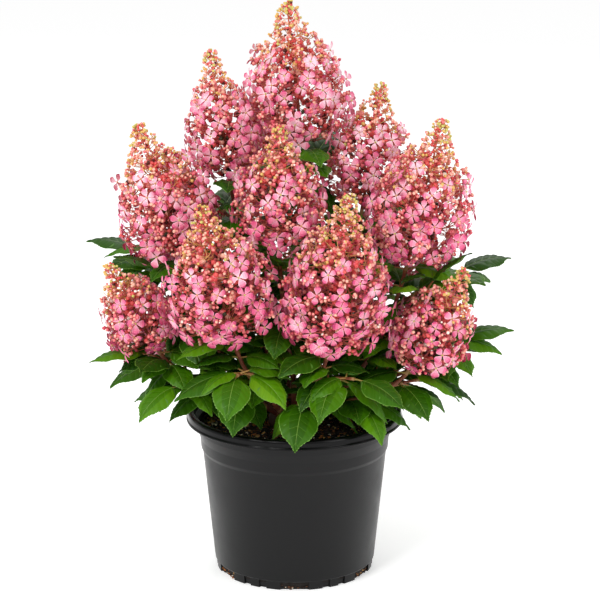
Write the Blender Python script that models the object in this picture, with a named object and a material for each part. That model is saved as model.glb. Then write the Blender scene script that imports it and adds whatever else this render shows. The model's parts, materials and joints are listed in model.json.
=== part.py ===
"""A panicle hydrangea in a squat round nursery pot, built the way it grows.

The pot holds its potting mix. A low woody crown sits on the mix, canes spring from the crown,
and each cane carries a leafy shoot that ends in a cone-shaped flower head, on all but two.

Metres, +Z up. The origin is the middle of the pot's flat underside. The plant's front faces
-Y, and bearings are degrees round the pot's axis from +X towards +Y.
"""

import math
import random
from typing import NamedTuple

import bmesh
import bpy
from mathutils import Vector
from mathutils.bvhtree import BVHTree
from mathutils.geometry import interpolate_bezier

UP = Vector((0.0, 0.0, 1.0))
# Gap between two pieces that touch
SEAT = 0.0003

# Pot, moulded plastic
POT_HEIGHT = 0.212
POT_SIDES = 30
POT_WALL = 0.0025
POT_FLOOR = 0.003
# The outside of the body as (radius, height), with a foot band and two ring-shaped steps
STEP_LEVEL = 0.1480
POT_BODY = (
    (0.1015, 0.0),
    (0.1020, 0.0095),
    (0.1038, 0.0110),
    (0.1172, STEP_LEVEL),
    (0.1192, 0.1502),
    (0.1210, 0.1680),
    (0.1236, 0.1705),
    (0.1262, 0.1960),
)
RIM_RADIUS = 0.140
RIM_INNER_RADIUS = 0.1305
RIM_DEPTH = 0.0125
RIM_WALL = 0.0022
RIM_ROUND = 0.0012
NOTCH_COUNT = 6
NOTCH_WIDTH = 0.036
NOTCH_HEIGHT = 0.011
# How far a notch's cutter reaches past the wall's middle and below the pot
CUTTER_REACH = 0.012
CUTTER_BELOW = 0.004

# Potting mix
MIX_TOP = 0.195
MIX_CLEAR = 0.00045

# Woody crown, the flat-cut cap of a ball that stands on the mix
CROWN_BALL = 0.034
CROWN_SUNK = 0.006
CROWN_SIDES = 18
CROWN_RINGS = 5

# Canes and shoots
CANE_FOOT_RADIUS = 0.0040
CANE_TOP_RADIUS = 0.0030
SHOOT_TOP_RADIUS = 0.0024
CANE_SIDES = 5
CANE_SPACING = 0.022
STEM_SIDES = 3
BARE_SHARE = 0.26
BARE_LEAST = 0.036
BARE_MOST = 0.075
PATH_STEPS = 48
PATH_MARK_EVERY = 6
DIRECTION_REACH = 0.003
STEEP = 0.8
SWEEP = 0.38
RING_ELEVATION = {"outer": 36.0, "inner": 66.0}

# Leaves, counted with their stalks
LEAF_LENGTH = 0.088
LEAF_WIDTH = 0.045
LEAF_THICKNESS = 0.0016
LEAF_SIZE_RANGE = (0.90, 1.10)
LEAF_DROOP_RANGE = (0.85, 1.15)
LEAF_ROLL_MOST = 16
TOP_LEAF_SHARE = 0.90
LONE_LEAF_SHARE = 0.90
# How a leaf leaves its stem and how far it bends down to its tip, in degrees
PAIR_POISE = (20, 60)
LONE_POISE = (12, 66)
LOW_TWIG_POISE = (6, 62)
HIGH_TWIG_POISE = (32, 50)
PAIR_TURN = 90
PAIR_TURN_MOST = 14
NODE_SPACING = 0.047
NODE_BELOW_HEAD = 0.013
NODE_ABOVE_CANE = 0.009
# Where a leaf is widest and where it starts to close, as (share of length, share of width)
LEAF_OUTLINE = ((0.44, 0.50), (0.74, 0.36))
MARGIN_FALL = 0.22
LEAF_GAP = 0.0012
ROOT_SINK = 0.0004
ROOT_SHIFT = 0.0006
# A leaf's tip may stand this much nearer another shoot than its own
SPACE_MARGIN = 0.030
OFF_STEM = 0.25
NEAR_TIP = 0.90
# How far leaves stay over the mix, over the rim, and how far they may hang outside it
OVER_MIX = 0.006
OVER_RIM = 0.006
BELOW_RIM = 0.030
RIM_MARGIN = 0.010
# A leaf that has no room tries these turns, falls and lengths in turn, then is skipped
LEAF_TRIES = (
    (0, 0, 1.0),
    (24, 8, 1.0),
    (-24, -10, 1.0),
    (45, -18, 0.96),
    (-45, 14, 0.96),
    (12, -32, 0.90),
    (-14, 28, 0.90),
    (62, 4, 0.86),
    (-62, -6, 0.86),
    (4, 18, 0.76),
    (34, -26, 0.70),
    (-34, 22, 0.70),
)

# Side twigs, at the two lowest nodes of a shoot and at the one below its top pair
TWIG_LENGTH = 0.056
TWIG_LENGTH_RANGE = (0.85, 1.20)
TWIG_RADIUS = 0.0023
TWIG_TAPER = 0.25
TWIG_RISE_LOW = 26
TWIG_RISE_HIGH = 42
TWIG_DROOP = 22
TWIG_LOW_NODES = 2
TWIG_HIGH_NODE = 2
TWIG_SPREAD = 40
TWIG_TURN_MOST = 18
TWIG_TRIES = (0, 28, -28, 55, -55)
TWIG_PAIR_AT = 0.55
TWIG_END_AT = 0.94
TWIG_PAIR_TURN = 68
TWIG_END_TURN_MOST = 12
LONE_LEAF_TURN = 150

# Flower heads
HEAD_WIDEST = 0.28
HEAD_FOOT = 0.03
HEAD_TIP = 0.05
CORE_SHARE = 0.74
CORE_SIDES = 8
CORE_STATIONS = (0.035, 0.20, 0.40, 0.64, 0.86)
STALK_SHARE = 0.03
ENVELOPE_SIDES = 12
ENVELOPE_STATIONS = (0.02, 0.12, 0.28, 0.50, 0.72, 0.90)
# Sterile florets, which stand just inside the cone's surface on roots that end in the core
FLORETS_PER_AREA = 1050
FLORET_RADIUS = 0.0165
FLORET_SIZE_RANGE = (0.88, 1.06)
FLORET_NOTCH = 0.58
FLORET_LIFT = 0.10
FLORET_DEPTH = 0.0036
# The lowest florets' height, the span of them all as shares of the head, and how they crowd
FLORETS_START = 0.07
FLORETS_SPAN = 0.74
FLORETS_CROWDING = 1.15
# The lowest florets face down and the highest ones up, in degrees
FLORET_TILT_START = -28
FLORET_TILT_SPAN = 75
FLORET_TILT_MOST = 10
FLORET_TURN_MOST = 0.25
FLORET_CLEAR = 0.001
FLORET_STAND = 0.93
FLORET_ROOT = 0.45
GOLDEN_TURN = math.radians(137.508)


class Head(NamedTuple):
    """A cane's upper end: where it stands, how it leans, its ring on the crown, its head's size."""

    bearing: float
    reach: float
    height: float
    leans_to: float
    lean: float
    ring: str
    length: float = 0.0
    radius: float = 0.0


HEADS = {
    "top": Head(82, 0.071, 0.546, 180, 6, "inner", 0.184, 0.068),
    "upper_left": Head(150, 0.096, 0.506, 160, 9, "inner", 0.165, 0.046),
    "upper_right": Head(38, 0.112, 0.466, 40, 11, "inner", 0.157, 0.056),
    "left": Head(180, 0.143, 0.419, 188, 18, "outer", 0.174, 0.064),
    "right": Head(-8, 0.145, 0.414, -18, 13, "outer", 0.188, 0.065),
    "middle": Head(-118, 0.040, 0.437, -90, 4, "inner", 0.154, 0.058),
    "front_left": Head(-129, 0.124, 0.338, -142, 15, "outer", 0.174, 0.068),
    "front_right": Head(-66, 0.104, 0.320, -48, 10, "outer", 0.205, 0.069),
    "low_left": Head(-166, 0.182, 0.309, -165, 28, "outer", 0.124, 0.046),
    "low_right": Head(-20, 0.158, 0.285, -17, 28, "outer", 0.146, 0.048),
    "back_high": Head(101, 0.178, 0.440, 96, 8, "inner", 0.168, 0.056),
    "back_left": Head(139, 0.180, 0.366, 140, 14, "inner", 0.164, 0.058),
    "back_right": Head(48, 0.182, 0.352, 46, 13, "inner", 0.164, 0.058),
    "back_middle": Head(84, 0.190, 0.285, 84, 18, "outer", 0.146, 0.056),
    "back_low_left": Head(156, 0.196, 0.256, 156, 26, "outer", 0.122, 0.046),
    "back_low_right": Head(34, 0.192, 0.240, 34, 26, "outer", 0.120, 0.046),
    # The leafy canes have no head
    "side_left": Head(163, 0.192, 0.418, 175, 30, "outer"),
    "side_right": Head(14, 0.192, 0.402, 10, 10, "outer"),
    "side_low": Head(4, 0.200, 0.305, 2, 30, "outer"),
}
FLOWERING = [name for name in HEADS if HEADS[name].length]


def make_material(name, colour, roughness):
    material = bpy.data.materials.new(name)
    material.use_nodes = True
    shader = material.node_tree.nodes["Principled BSDF"]
    shader.inputs["Base Color"].default_value = (*colour, 1.0)
    shader.inputs["Roughness"].default_value = roughness
    shader.inputs["Metallic"].default_value = 0.0
    material.diffuse_color = (*colour, 1.0)
    return material


def add_object(name, bm, material, collection=None):
    """Puts the bmesh in the scene as one object with its faces pointing out."""
    bmesh.ops.recalc_face_normals(bm, faces=bm.faces)
    mesh = bpy.data.meshes.new(name)
    bm.to_mesh(mesh)
    bm.free()
    mesh.materials.append(material)
    obj = bpy.data.objects.new(name, mesh)
    (collection or bpy.context.scene.collection).objects.link(obj)
    return obj


def add_closed(bm, points, faces):
    """Adds a closed shape to the bmesh from its points and the faces between them."""
    verts = [bm.verts.new(point) for point in points]
    for face in faces:
        bm.faces.new([verts[i] for i in face])


def rings_to_faces(rings, sides, closed_start, closed_end):
    """Faces of a skin over rings of points, whose ends are capped, or closed on one point."""
    faces = []
    for ring in range(rings - 1):
        for side in range(sides):
            after = (side + 1) % sides
            low, high = ring * sides, (ring + 1) * sides
            faces.append((low + side, low + after, high + after, high + side))
    last = (rings - 1) * sides
    if closed_start is None:
        faces.append(tuple(range(sides)))
    else:
        faces += [(closed_start, side, (side + 1) % sides) for side in range(sides)]
    if closed_end is None:
        faces.append(tuple(last + side for side in range(sides)))
    else:
        faces += [
            (closed_end, last + side, last + (side + 1) % sides) for side in range(sides)
        ]
    return faces


def turned_shape(profile, sides, place=lambda point: point):
    """Points and faces of a profile turned about Z. Its first and last points are on the axis."""
    points = []
    for radius, height in profile[1:-1]:
        for side in range(sides):
            turn = math.tau * side / sides
            points.append(
                place(Vector((radius * math.cos(turn), radius * math.sin(turn), height)))
            )
    first, last = len(points), len(points) + 1
    points.append(place(Vector((0.0, 0.0, profile[0][1]))))
    points.append(place(Vector((0.0, 0.0, profile[-1][1]))))
    return points, rings_to_faces(len(profile) - 2, sides, first, last)


def tube_shape(stations, sides, turn=0.0):
    """Points and faces of a tube through (centre, direction, radius) stations."""
    average = sum((direction for _, direction, _ in stations), Vector()).normalized()
    guide = Vector((1.0, 0.0, 0.0)) if abs(average.z) > STEEP else UP
    points = []
    for centre, direction, radius in stations:
        across = (guide - direction * guide.dot(direction)).normalized()
        beside = direction.cross(across)
        for side in range(sides):
            angle = turn + math.tau * side / sides
            points.append(centre + (across * math.cos(angle) + beside * math.sin(angle)) * radius)
    return points, rings_to_faces(len(stations), sides, None, None)


def heading(bearing):
    turn = math.radians(bearing)
    return Vector((math.cos(turn), math.sin(turn), 0.0))


# The pot


def inside_radius(height):
    """Inner radius of the pot's body at a height."""
    inner = [(radius - POT_WALL, level) for radius, level in POT_BODY]
    for (low_radius, low), (high_radius, high) in zip(inner, inner[1:]):
        if low <= height <= high:
            return low_radius + (high_radius - low_radius) * (height - low) / (high - low)
    return inner[-1][0]


def pot_profile():
    """Up the outside, round the hooked rim, down the inside and in to the floor's middle."""
    under = POT_HEIGHT - RIM_DEPTH
    top_of_body = POT_BODY[-1][1]
    outside = [(0.0, 0.0), *POT_BODY]
    rim = [
        (RIM_INNER_RADIUS + RIM_WALL * 0.5, under + RIM_WALL),
        (RIM_INNER_RADIUS + RIM_WALL, POT_HEIGHT - RIM_WALL),
        (RIM_RADIUS - RIM_WALL, POT_HEIGHT - RIM_WALL),
        (RIM_RADIUS - RIM_WALL, under),
        (RIM_RADIUS, under),
        (RIM_RADIUS, POT_HEIGHT - RIM_ROUND),
        (RIM_RADIUS - RIM_ROUND, POT_HEIGHT),
        (RIM_INNER_RADIUS + RIM_ROUND, POT_HEIGHT),
        (RIM_INNER_RADIUS, POT_HEIGHT - RIM_ROUND),
        (RIM_INNER_RADIUS - RIM_WALL * 0.5, under + RIM_WALL),
    ]
    levels = [top_of_body, *(level for _, level in reversed(POT_BODY[1:-1]) if level > POT_FLOOR)]
    inside = [(inside_radius(level), level) for level in levels]
    return [*outside, *rim, *inside, (inside_radius(POT_FLOOR), POT_FLOOR), (0.0, POT_FLOOR)]


def build_pot(material):
    bm = bmesh.new()
    add_closed(bm, *turned_shape(pot_profile(), POT_SIDES))
    pot = add_object("pot", bm, material)
    cutters = bpy.data.collections.new("notch_cutters")
    bpy.context.scene.collection.children.link(cutters)
    middle = POT_BODY[0][0] - POT_WALL * 0.5
    for notch in range(NOTCH_COUNT):
        out = heading(-90 + 360 * notch / NOTCH_COUNT)
        across = out.cross(UP) * (NOTCH_WIDTH / 2)
        block = bmesh.new()
        corners = [
            out * (middle + depth) + across * side + UP * height
            for height in (-CUTTER_BELOW, NOTCH_HEIGHT)
            for depth, side in (
                (-CUTTER_REACH, -1),
                (CUTTER_REACH, -1),
                (CUTTER_REACH, 1),
                (-CUTTER_REACH, 1),
            )
        ]
        add_closed(block, corners, rings_to_faces(2, 4, None, None))
        cutter = add_object(f"notch_cutter_{notch + 1}", block, material, cutters)
        cutter.hide_render = True
        cutter.display_type = "WIRE"
    cut = pot.modifiers.new("drain notches", "BOOLEAN")
    cut.operation = "DIFFERENCE"
    cut.operand_type = "COLLECTION"
    cut.collection = cutters
    return pot


def build_mix(material):
    levels = (POT_FLOOR + SEAT, STEP_LEVEL, MIX_TOP)
    profile = [(0.0, POT_FLOOR + SEAT)]
    profile += [(inside_radius(level) - MIX_CLEAR, level) for level in levels]
    profile.append((0.0, MIX_TOP))
    bm = bmesh.new()
    add_closed(bm, *turned_shape(profile, POT_SIDES))
    return add_object("potting_mix", bm, material)


# The crown and the canes' routes

CROWN_FOOT = MIX_TOP + SEAT
CROWN_CENTRE = Vector((0.0, 0.0, CROWN_FOOT - CROWN_SUNK))


def build_crown(material):
    start = math.asin(CROWN_SUNK / CROWN_BALL)
    profile = [(0.0, CROWN_FOOT)]
    for ring in range(CROWN_RINGS):
        rise = start + (math.pi / 2 - start) * ring / CROWN_RINGS
        profile.append(
            (CROWN_BALL * math.cos(rise), CROWN_CENTRE.z + CROWN_BALL * math.sin(rise))
        )
    profile.append((0.0, CROWN_CENTRE.z + CROWN_BALL))
    bm = bmesh.new()
    add_closed(bm, *turned_shape(profile, CROWN_SIDES))
    return add_object("root_crown", bm, material)


def head_axis(head):
    """Direction of a flower head's axis."""
    lean = math.radians(head.lean)
    return heading(head.leans_to) * math.sin(lean) + UP * math.cos(lean)


def head_foot(head):
    return heading(head.bearing) * head.reach + UP * head.height


def crown_direction(name):
    """The way a cane leaves the crown: its ring's canes share the circle evenly, in turn."""
    ring = HEADS[name].ring
    bearings = {key: head.bearing % 360 for key, head in HEADS.items() if head.ring == ring}
    order = sorted(bearings, key=bearings.get)
    share = 360.0 / len(order)
    offsets = [bearings[key] - i * share for i, key in enumerate(order)]
    bearing = order.index(name) * share + sum(offsets) / len(offsets)
    rise = math.radians(RING_ELEVATION[ring])
    return heading(bearing) * math.cos(rise) + UP * math.sin(rise)


class Route:
    """A smooth curve that can be asked for its point and direction at a length along it."""

    def __init__(self, points):
        self.points = points
        self.marks = [0.0]
        for a, b in zip(points, points[1:]):
            self.marks.append(self.marks[-1] + (b - a).length)
        self.length = self.marks[-1]

    def at(self, distance):
        distance = min(max(distance, 0.0), self.length)
        step = 0
        while step < len(self.points) - 2 and self.marks[step + 1] < distance:
            step += 1
        share = (distance - self.marks[step]) / (self.marks[step + 1] - self.marks[step])
        return self.points[step].lerp(self.points[step + 1], share)

    def direction(self, distance):
        after = self.at(distance + DIRECTION_REACH)
        return (after - self.at(distance - DIRECTION_REACH)).normalized()


def cane_route(name):
    """From just off the crown to the foot of the flower head, along one easy curve."""
    head = HEADS[name]
    out = crown_direction(name)
    start = CROWN_CENTRE + out * (CROWN_BALL + SEAT)
    end = head_foot(head)
    pull = (end - start).length * SWEEP
    handle = end - head_axis(head) * pull
    return Route(interpolate_bezier(start, start + out * pull, handle, end, PATH_STEPS))


def bare_length(route):
    return min(max(route.length * BARE_SHARE, BARE_LEAST), BARE_MOST)


def build_cane(name, route, material):
    end = bare_length(route)
    count = max(2, round(end / CANE_SPACING) + 1)
    # The foot is cut square to the crown's surface
    stations = [(route.at(0.0), crown_direction(name), CANE_FOOT_RADIUS)]
    for i in range(1, count):
        share = i / (count - 1)
        radius = CANE_FOOT_RADIUS + (CANE_TOP_RADIUS - CANE_FOOT_RADIUS) * share
        stations.append((route.at(end * share), route.direction(end * share), radius))
    shape = tube_shape(stations, CANE_SIDES)
    bm = bmesh.new()
    add_closed(bm, *shape)
    return add_object(f"cane_{name}", bm, material), shape


# Leaves


class Leaf(NamedTuple):
    """A leaf on its stalk, bending down evenly from its root to its tip."""

    root: Vector
    out: Vector
    rise: float
    droop: float
    length: float
    width: float
    roll: float


def leaf_point(leaf, share):
    """Point of the leaf's midrib at a share of its length."""
    start = math.radians(leaf.rise)
    droop = math.radians(leaf.droop)
    angle = start - droop * share
    scale = leaf.length / droop
    return (
        leaf.root
        + leaf.out * (scale * (math.sin(start) - math.sin(angle)))
        + UP * (scale * (math.cos(angle) - math.cos(start)))
    )


def leaf_axes(leaf, share):
    """The leaf's sideways direction and its upper face's direction at a share of its length."""
    angle = math.radians(leaf.rise - leaf.droop * share)
    along = leaf.out * math.cos(angle) + UP * math.sin(angle)
    level = leaf.out.cross(UP)
    face = level.cross(along)
    roll = math.radians(leaf.roll)
    side = level * math.cos(roll) + face * math.sin(roll)
    return side, face * math.cos(roll) - level * math.sin(roll)


# A leaf's points are six round its outline, then one above and one below its middle
LEAF_FACES = [(middle, i, (i + 1) % 6) for middle in (6, 7) for i in range(6)]


def leaf_shape(leaf, more=0.0, start=0.0):
    """Points and faces of a leaf's solid, made thicker and wider by a margin on request."""
    left, right = [], []
    for share, width in LEAF_OUTLINE:
        side, face = leaf_axes(leaf, share)
        half = leaf.width * width
        rib = leaf_point(leaf, share) - face * (half * MARGIN_FALL)
        left.append(rib - side * (half + more))
        right.append(rib + side * (half + more))
    middle = (LEAF_OUTLINE[0][0] + LEAF_OUTLINE[1][0]) / 2
    _, face = leaf_axes(leaf, middle)
    rib = leaf_point(leaf, middle)
    half_thick = LEAF_THICKNESS / 2 + more
    tip = leaf_point(leaf, 1.0 + more / leaf.length)
    outline = [leaf_point(leaf, start), *left, tip, *reversed(right)]
    return outline + [rib + face * half_thick, rib - face * half_thick], LEAF_FACES


class Body(NamedTuple):
    """Something that already stands in the crown, which leaves have to stay clear of."""

    owner: str
    centre: Vector
    reach: float
    tree: BVHTree


def as_body(owner, shape):
    points, faces = shape
    centre = sum(points, Vector()) / len(points)
    reach = max((point - centre).length for point in points)
    return Body(owner, centre, reach, BVHTree.FromPolygons(points, faces))


def meets(shape, bodies):
    body = as_body("", shape)
    return any(
        (other.centre - body.centre).length < other.reach + body.reach
        and body.tree.overlap(other.tree)
        for other in bodies
    )


def clear_of_pot(points):
    """Whether the points stay over the mix and the rim, or well outside the pot."""
    for point in points:
        reach = math.hypot(point.x, point.y)
        if reach < RIM_INNER_RADIUS - RIM_MARGIN:
            floor = MIX_TOP + OVER_MIX
        elif reach < RIM_RADIUS + RIM_MARGIN:
            floor = POT_HEIGHT + OVER_RIM
        else:
            floor = POT_HEIGHT - BELOW_RIM
        if point.z < floor:
            return False
    return True


def in_own_space(point, name, routes):
    """Whether a point is nearer its own shoot than any other, with a margin they share."""
    def distance(key):
        marks = routes[key].points[::PATH_MARK_EVERY]
        return min((point - mark).length for mark in marks)

    own = distance(name)
    return all(own < distance(key) + SPACE_MARGIN for key in routes if key != name)


class Shoot:
    """One leafy shoot while it grows: its stem, its twigs and its leaves."""

    def __init__(self, name, route):
        self.name = name
        self.route = route
        self.rng = random.Random(f"hydrangea {name}")
        start = bare_length(route) + SEAT
        first, last = start + NODE_ABOVE_CANE, route.length - NODE_BELOW_HEAD
        count = max(2, round((last - first) / NODE_SPACING) + 1)
        self.nodes = [first + (last - first) * i / (count - 1) for i in range(count)]
        stations = []
        for distance in (start, *self.nodes, route.length):
            share = (distance - start) / (route.length - start)
            radius = CANE_TOP_RADIUS + (SHOOT_TOP_RADIUS - CANE_TOP_RADIUS) * share
            stations.append((route.at(distance), route.direction(distance), radius))
        self.stem = tube_shape(stations, STEM_SIDES, self.rng.random())
        self.twigs = []
        self.leaves = []


def try_leaf(shoot, root, bearing, poise, length, bodies, routes):
    """Adds one leaf to the shoot at the first turn, fall and length that has room."""
    rng = shoot.rng
    rise, droop = poise
    roll = rng.uniform(-LEAF_ROLL_MOST, LEAF_ROLL_MOST)
    root = root + UP * rng.uniform(-ROOT_SHIFT, ROOT_SHIFT)
    size = length * rng.uniform(*LEAF_SIZE_RANGE)
    droop = droop * rng.uniform(*LEAF_DROOP_RANGE)
    own = [body for body in bodies if body.owner == shoot.name]
    others = [body for body in bodies if body.owner != shoot.name]
    for turn, fall, share in LEAF_TRIES:
        out = heading(bearing + turn)
        long = size * share
        wide = long * LEAF_WIDTH / LEAF_LENGTH
        leaf = Leaf(root - out * ROOT_SINK, out, rise - fall, droop, long, wide, roll)
        shape = leaf_shape(leaf, LEAF_GAP)
        if not clear_of_pot(shape[0]):
            continue
        if not in_own_space(leaf_point(leaf, NEAR_TIP), shoot.name, routes):
            continue
        if meets(shape, others) or meets(leaf_shape(leaf, LEAF_GAP, OFF_STEM), own):
            continue
        shoot.leaves.append(leaf)
        bodies.append(as_body(shoot.name, leaf_shape(leaf)))
        return


def grow_twig(shoot, root, bearing, high, bodies, routes):
    """A side twig with a pair of leaves part way and one leaf at its end."""
    rng = shoot.rng
    length = TWIG_LENGTH * rng.uniform(*TWIG_LENGTH_RANGE)
    rise = TWIG_RISE_HIGH if high else TWIG_RISE_LOW
    poise = HIGH_TWIG_POISE if high else LOW_TWIG_POISE
    for turn in TWIG_TRIES:
        out = heading(bearing + turn)
        line = Leaf(root - out * ROOT_SINK, out, rise, TWIG_DROOP, length, 0.0, 0.0)
        stations = []
        for share in (0.0, TWIG_PAIR_AT, TWIG_END_AT, 1.0):
            angle = math.radians(line.rise - line.droop * share)
            direction = out * math.cos(angle) + UP * math.sin(angle)
            radius = TWIG_RADIUS * (1.0 - TWIG_TAPER * share)
            stations.append((leaf_point(line, share), direction, radius))
        twig = tube_shape(stations, STEM_SIDES, rng.random())
        if not clear_of_pot(twig[0]):
            continue
        if not in_own_space(stations[-1][0], shoot.name, routes):
            continue
        if meets(twig, [body for body in bodies if body.owner != shoot.name]):
            continue
        shoot.twigs.append(twig)
        bodies.append(as_body(shoot.name, twig))
        bearing += turn
        end_turn = bearing + rng.uniform(-TWIG_END_TURN_MOST, TWIG_END_TURN_MOST)
        end = leaf_point(line, TWIG_END_AT)
        try_leaf(shoot, end, end_turn, poise, LEAF_LENGTH, bodies, routes)
        for side in (-TWIG_PAIR_TURN, TWIG_PAIR_TURN):
            part = leaf_point(line, TWIG_PAIR_AT)
            try_leaf(shoot, part, bearing + side, poise, LEAF_LENGTH, bodies, routes)
        return


def grow_shoot(shoot, bodies, routes):
    """Pairs of leaves, each pair a quarter turn from the last, and side twigs low down."""
    rng = shoot.rng
    route = shoot.route
    turn = rng.uniform(0, 180)
    outward = math.degrees(math.atan2(*reversed(route.at(route.length).xy)))
    for node, distance in reversed(list(enumerate(shoot.nodes))):
        root = route.at(distance)
        bearing = turn + PAIR_TURN * node + rng.uniform(-PAIR_TURN_MOST, PAIR_TURN_MOST)
        low = node < TWIG_LOW_NODES
        if low or node == len(shoot.nodes) - TWIG_HIGH_NODE:
            side = outward + rng.uniform(-TWIG_TURN_MOST, TWIG_TURN_MOST)
            if low:
                side += TWIG_SPREAD if node % 2 else -TWIG_SPREAD
            grow_twig(shoot, root, side, not low, bodies, routes)
            length = LEAF_LENGTH * LONE_LEAF_SHARE
            try_leaf(shoot, root, side + LONE_LEAF_TURN, LONE_POISE, length, bodies, routes)
            continue
        share = node / (len(shoot.nodes) - 1)
        length = LEAF_LENGTH * (1.0 - (1.0 - TOP_LEAF_SHARE) * share)
        for side in (0, 180):
            try_leaf(shoot, root, bearing + side, PAIR_POISE, length, bodies, routes)


def join(name, pieces, material):
    """One closed solid from the pieces, by one Boolean union over their collection."""
    group = bpy.data.collections.new(f"{name}_pieces")
    bpy.context.scene.collection.children.link(group)
    for i, (points, faces) in enumerate(pieces[1:]):
        bm = bmesh.new()
        add_closed(bm, points, faces)
        add_object(f"{name}_piece_{i + 1}", bm, material, group)
    bm = bmesh.new()
    add_closed(bm, *pieces[0])
    whole = add_object(name, bm, material)
    union = whole.modifiers.new("join", "BOOLEAN")
    union.operation = "UNION"
    union.operand_type = "COLLECTION"
    union.collection = group
    graph = bpy.context.evaluated_depsgraph_get()
    mesh = bpy.data.meshes.new_from_object(whole.evaluated_get(graph))
    whole.modifiers.clear()
    whole.data = mesh
    for piece in list(group.objects):
        bpy.data.objects.remove(piece, do_unlink=True)
    bpy.data.collections.remove(group)
    return whole


def build_shoot(shoot, material):
    pieces = [shoot.stem, *shoot.twigs, *(leaf_shape(leaf) for leaf in shoot.leaves)]
    return join(f"leaves_{shoot.name}", pieces, material)


# Flower heads


def head_width(share):
    """A head's width at a share of its height: a rounded foot, then a cone that narrows."""
    if share > HEAD_WIDEST:
        rise = min((share - HEAD_WIDEST) / (1.0 - HEAD_WIDEST), 1.0)
        return HEAD_TIP + (1.0 - HEAD_TIP) * math.cos(math.pi / 2 * rise)
    fall = min((HEAD_WIDEST - share) / (HEAD_WIDEST + HEAD_FOOT), 1.0)
    return HEAD_TIP + (1.0 - HEAD_TIP) * math.sqrt(1.0 - fall**2)


def head_place(head):
    """Turns a point of an upright head at the origin into its place on the plant."""
    turn = UP.rotation_difference(head_axis(head))
    foot = head_foot(head)
    return lambda point: foot + turn @ point


def head_envelope(head):
    """The closed cone that holds the whole head."""
    profile = [(0.0, 0.0)]
    for share in ENVELOPE_STATIONS:
        profile.append((head.radius * head_width(share), head.length * share))
    profile.append((0.0, head.length))
    return turned_shape(profile, ENVELOPE_SIDES, head_place(head))


def depth_in(point, head):
    """How far inside a head's cone a point lies. Outside it the depth is negative."""
    axis = head_axis(head)
    offset = point - head_foot(head)
    height = offset.dot(axis)
    share = height / head.length
    if not 0.0 < share < 1.0:
        return -1.0
    return head.radius * head_width(share) - (offset - axis * height).length


def core_shape(head):
    """The dense mass of buds and florets' stalks, down to the stalk that the shoot ends in."""
    stalk = SHOOT_TOP_RADIUS
    profile = [(0.0, SEAT), (stalk, SEAT), (stalk, head.length * STALK_SHARE)]
    for share in CORE_STATIONS:
        width = head.radius * head_width(share) * CORE_SHARE
        profile.append((width, head.length * share))
    profile.append((0.0, head.length))
    return turned_shape(profile, CORE_SIDES, head_place(head))


# A floret's points are a petal's tip and the notch after it, four times, the eye and the root
FLORET_FACES = [(8, i, (i + 1) % 8) for i in range(8)]
FLORET_FACES += [(tip, (tip + 1) % 8, (tip - 1) % 8) for tip in (0, 2, 4, 6)]
FLORET_FACES += [(9, notch, (notch + 2) % 8) for notch in (1, 3, 5, 7)]


def floret_points(centre, face, spin, radius):
    """A four-petalled floret: a flat star with a raised eye and a root that ends in the core."""
    guide = UP if abs(face.z) < 0.9 else Vector((1.0, 0.0, 0.0))
    across = face.cross(guide).normalized()
    beside = face.cross(across)
    points = []
    for i in range(8):
        angle = spin + math.tau * i / 8
        reach = radius if i % 2 == 0 else radius * FLORET_NOTCH
        lift = face * (radius * FLORET_LIFT if i % 2 == 0 else 0.0)
        arm = across * math.cos(angle) + beside * math.sin(angle)
        points.append(centre + arm * reach + lift)
    return points + [centre + face * FLORET_DEPTH]


def head_florets(name, head):
    """Florets in a golden spiral up the cone, left out where a neighbouring head is."""
    rng = random.Random(f"florets {name}")
    place = head_place(head)
    others = [HEADS[key] for key in FLOWERING if key != name]
    florets = []
    count = round(head.radius * head.length * FLORETS_PER_AREA)
    for i in range(count):
        share = FLORETS_START + FLORETS_SPAN * ((i + 0.5) / count) ** FLORETS_CROWDING
        turn = i * GOLDEN_TURN + rng.uniform(-FLORET_TURN_MOST, FLORET_TURN_MOST)
        size = FLORET_RADIUS * rng.uniform(*FLORET_SIZE_RANGE)
        reach = head.radius * head_width(share) * FLORET_STAND
        out = Vector((math.cos(turn), math.sin(turn), 0.0))
        tilt = FLORET_TILT_START + FLORET_TILT_SPAN * share
        tilt = math.radians(tilt + rng.uniform(-FLORET_TILT_MOST, FLORET_TILT_MOST))
        face = out * math.cos(tilt) + UP * math.sin(tilt)
        centre = out * reach + UP * (head.length * share)
        points = floret_points(centre, face, rng.uniform(0, math.tau), size)
        proud = max(p.xy.length - head.radius * head_width(p.z / head.length) for p in points)
        root = out * (reach * FLORET_ROOT) + UP * (head.length * share)
        points = [place(point - out * max(proud, 0.0)) for point in points] + [place(root)]
        if any(depth_in(point, other) > -FLORET_CLEAR for point in points for other in others):
            continue
        florets.append((points, FLORET_FACES))
    return florets


def build_head(name, material):
    head = HEADS[name]
    return join(f"bloom_{name}", [core_shape(head), *head_florets(name, head)], material)


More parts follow.
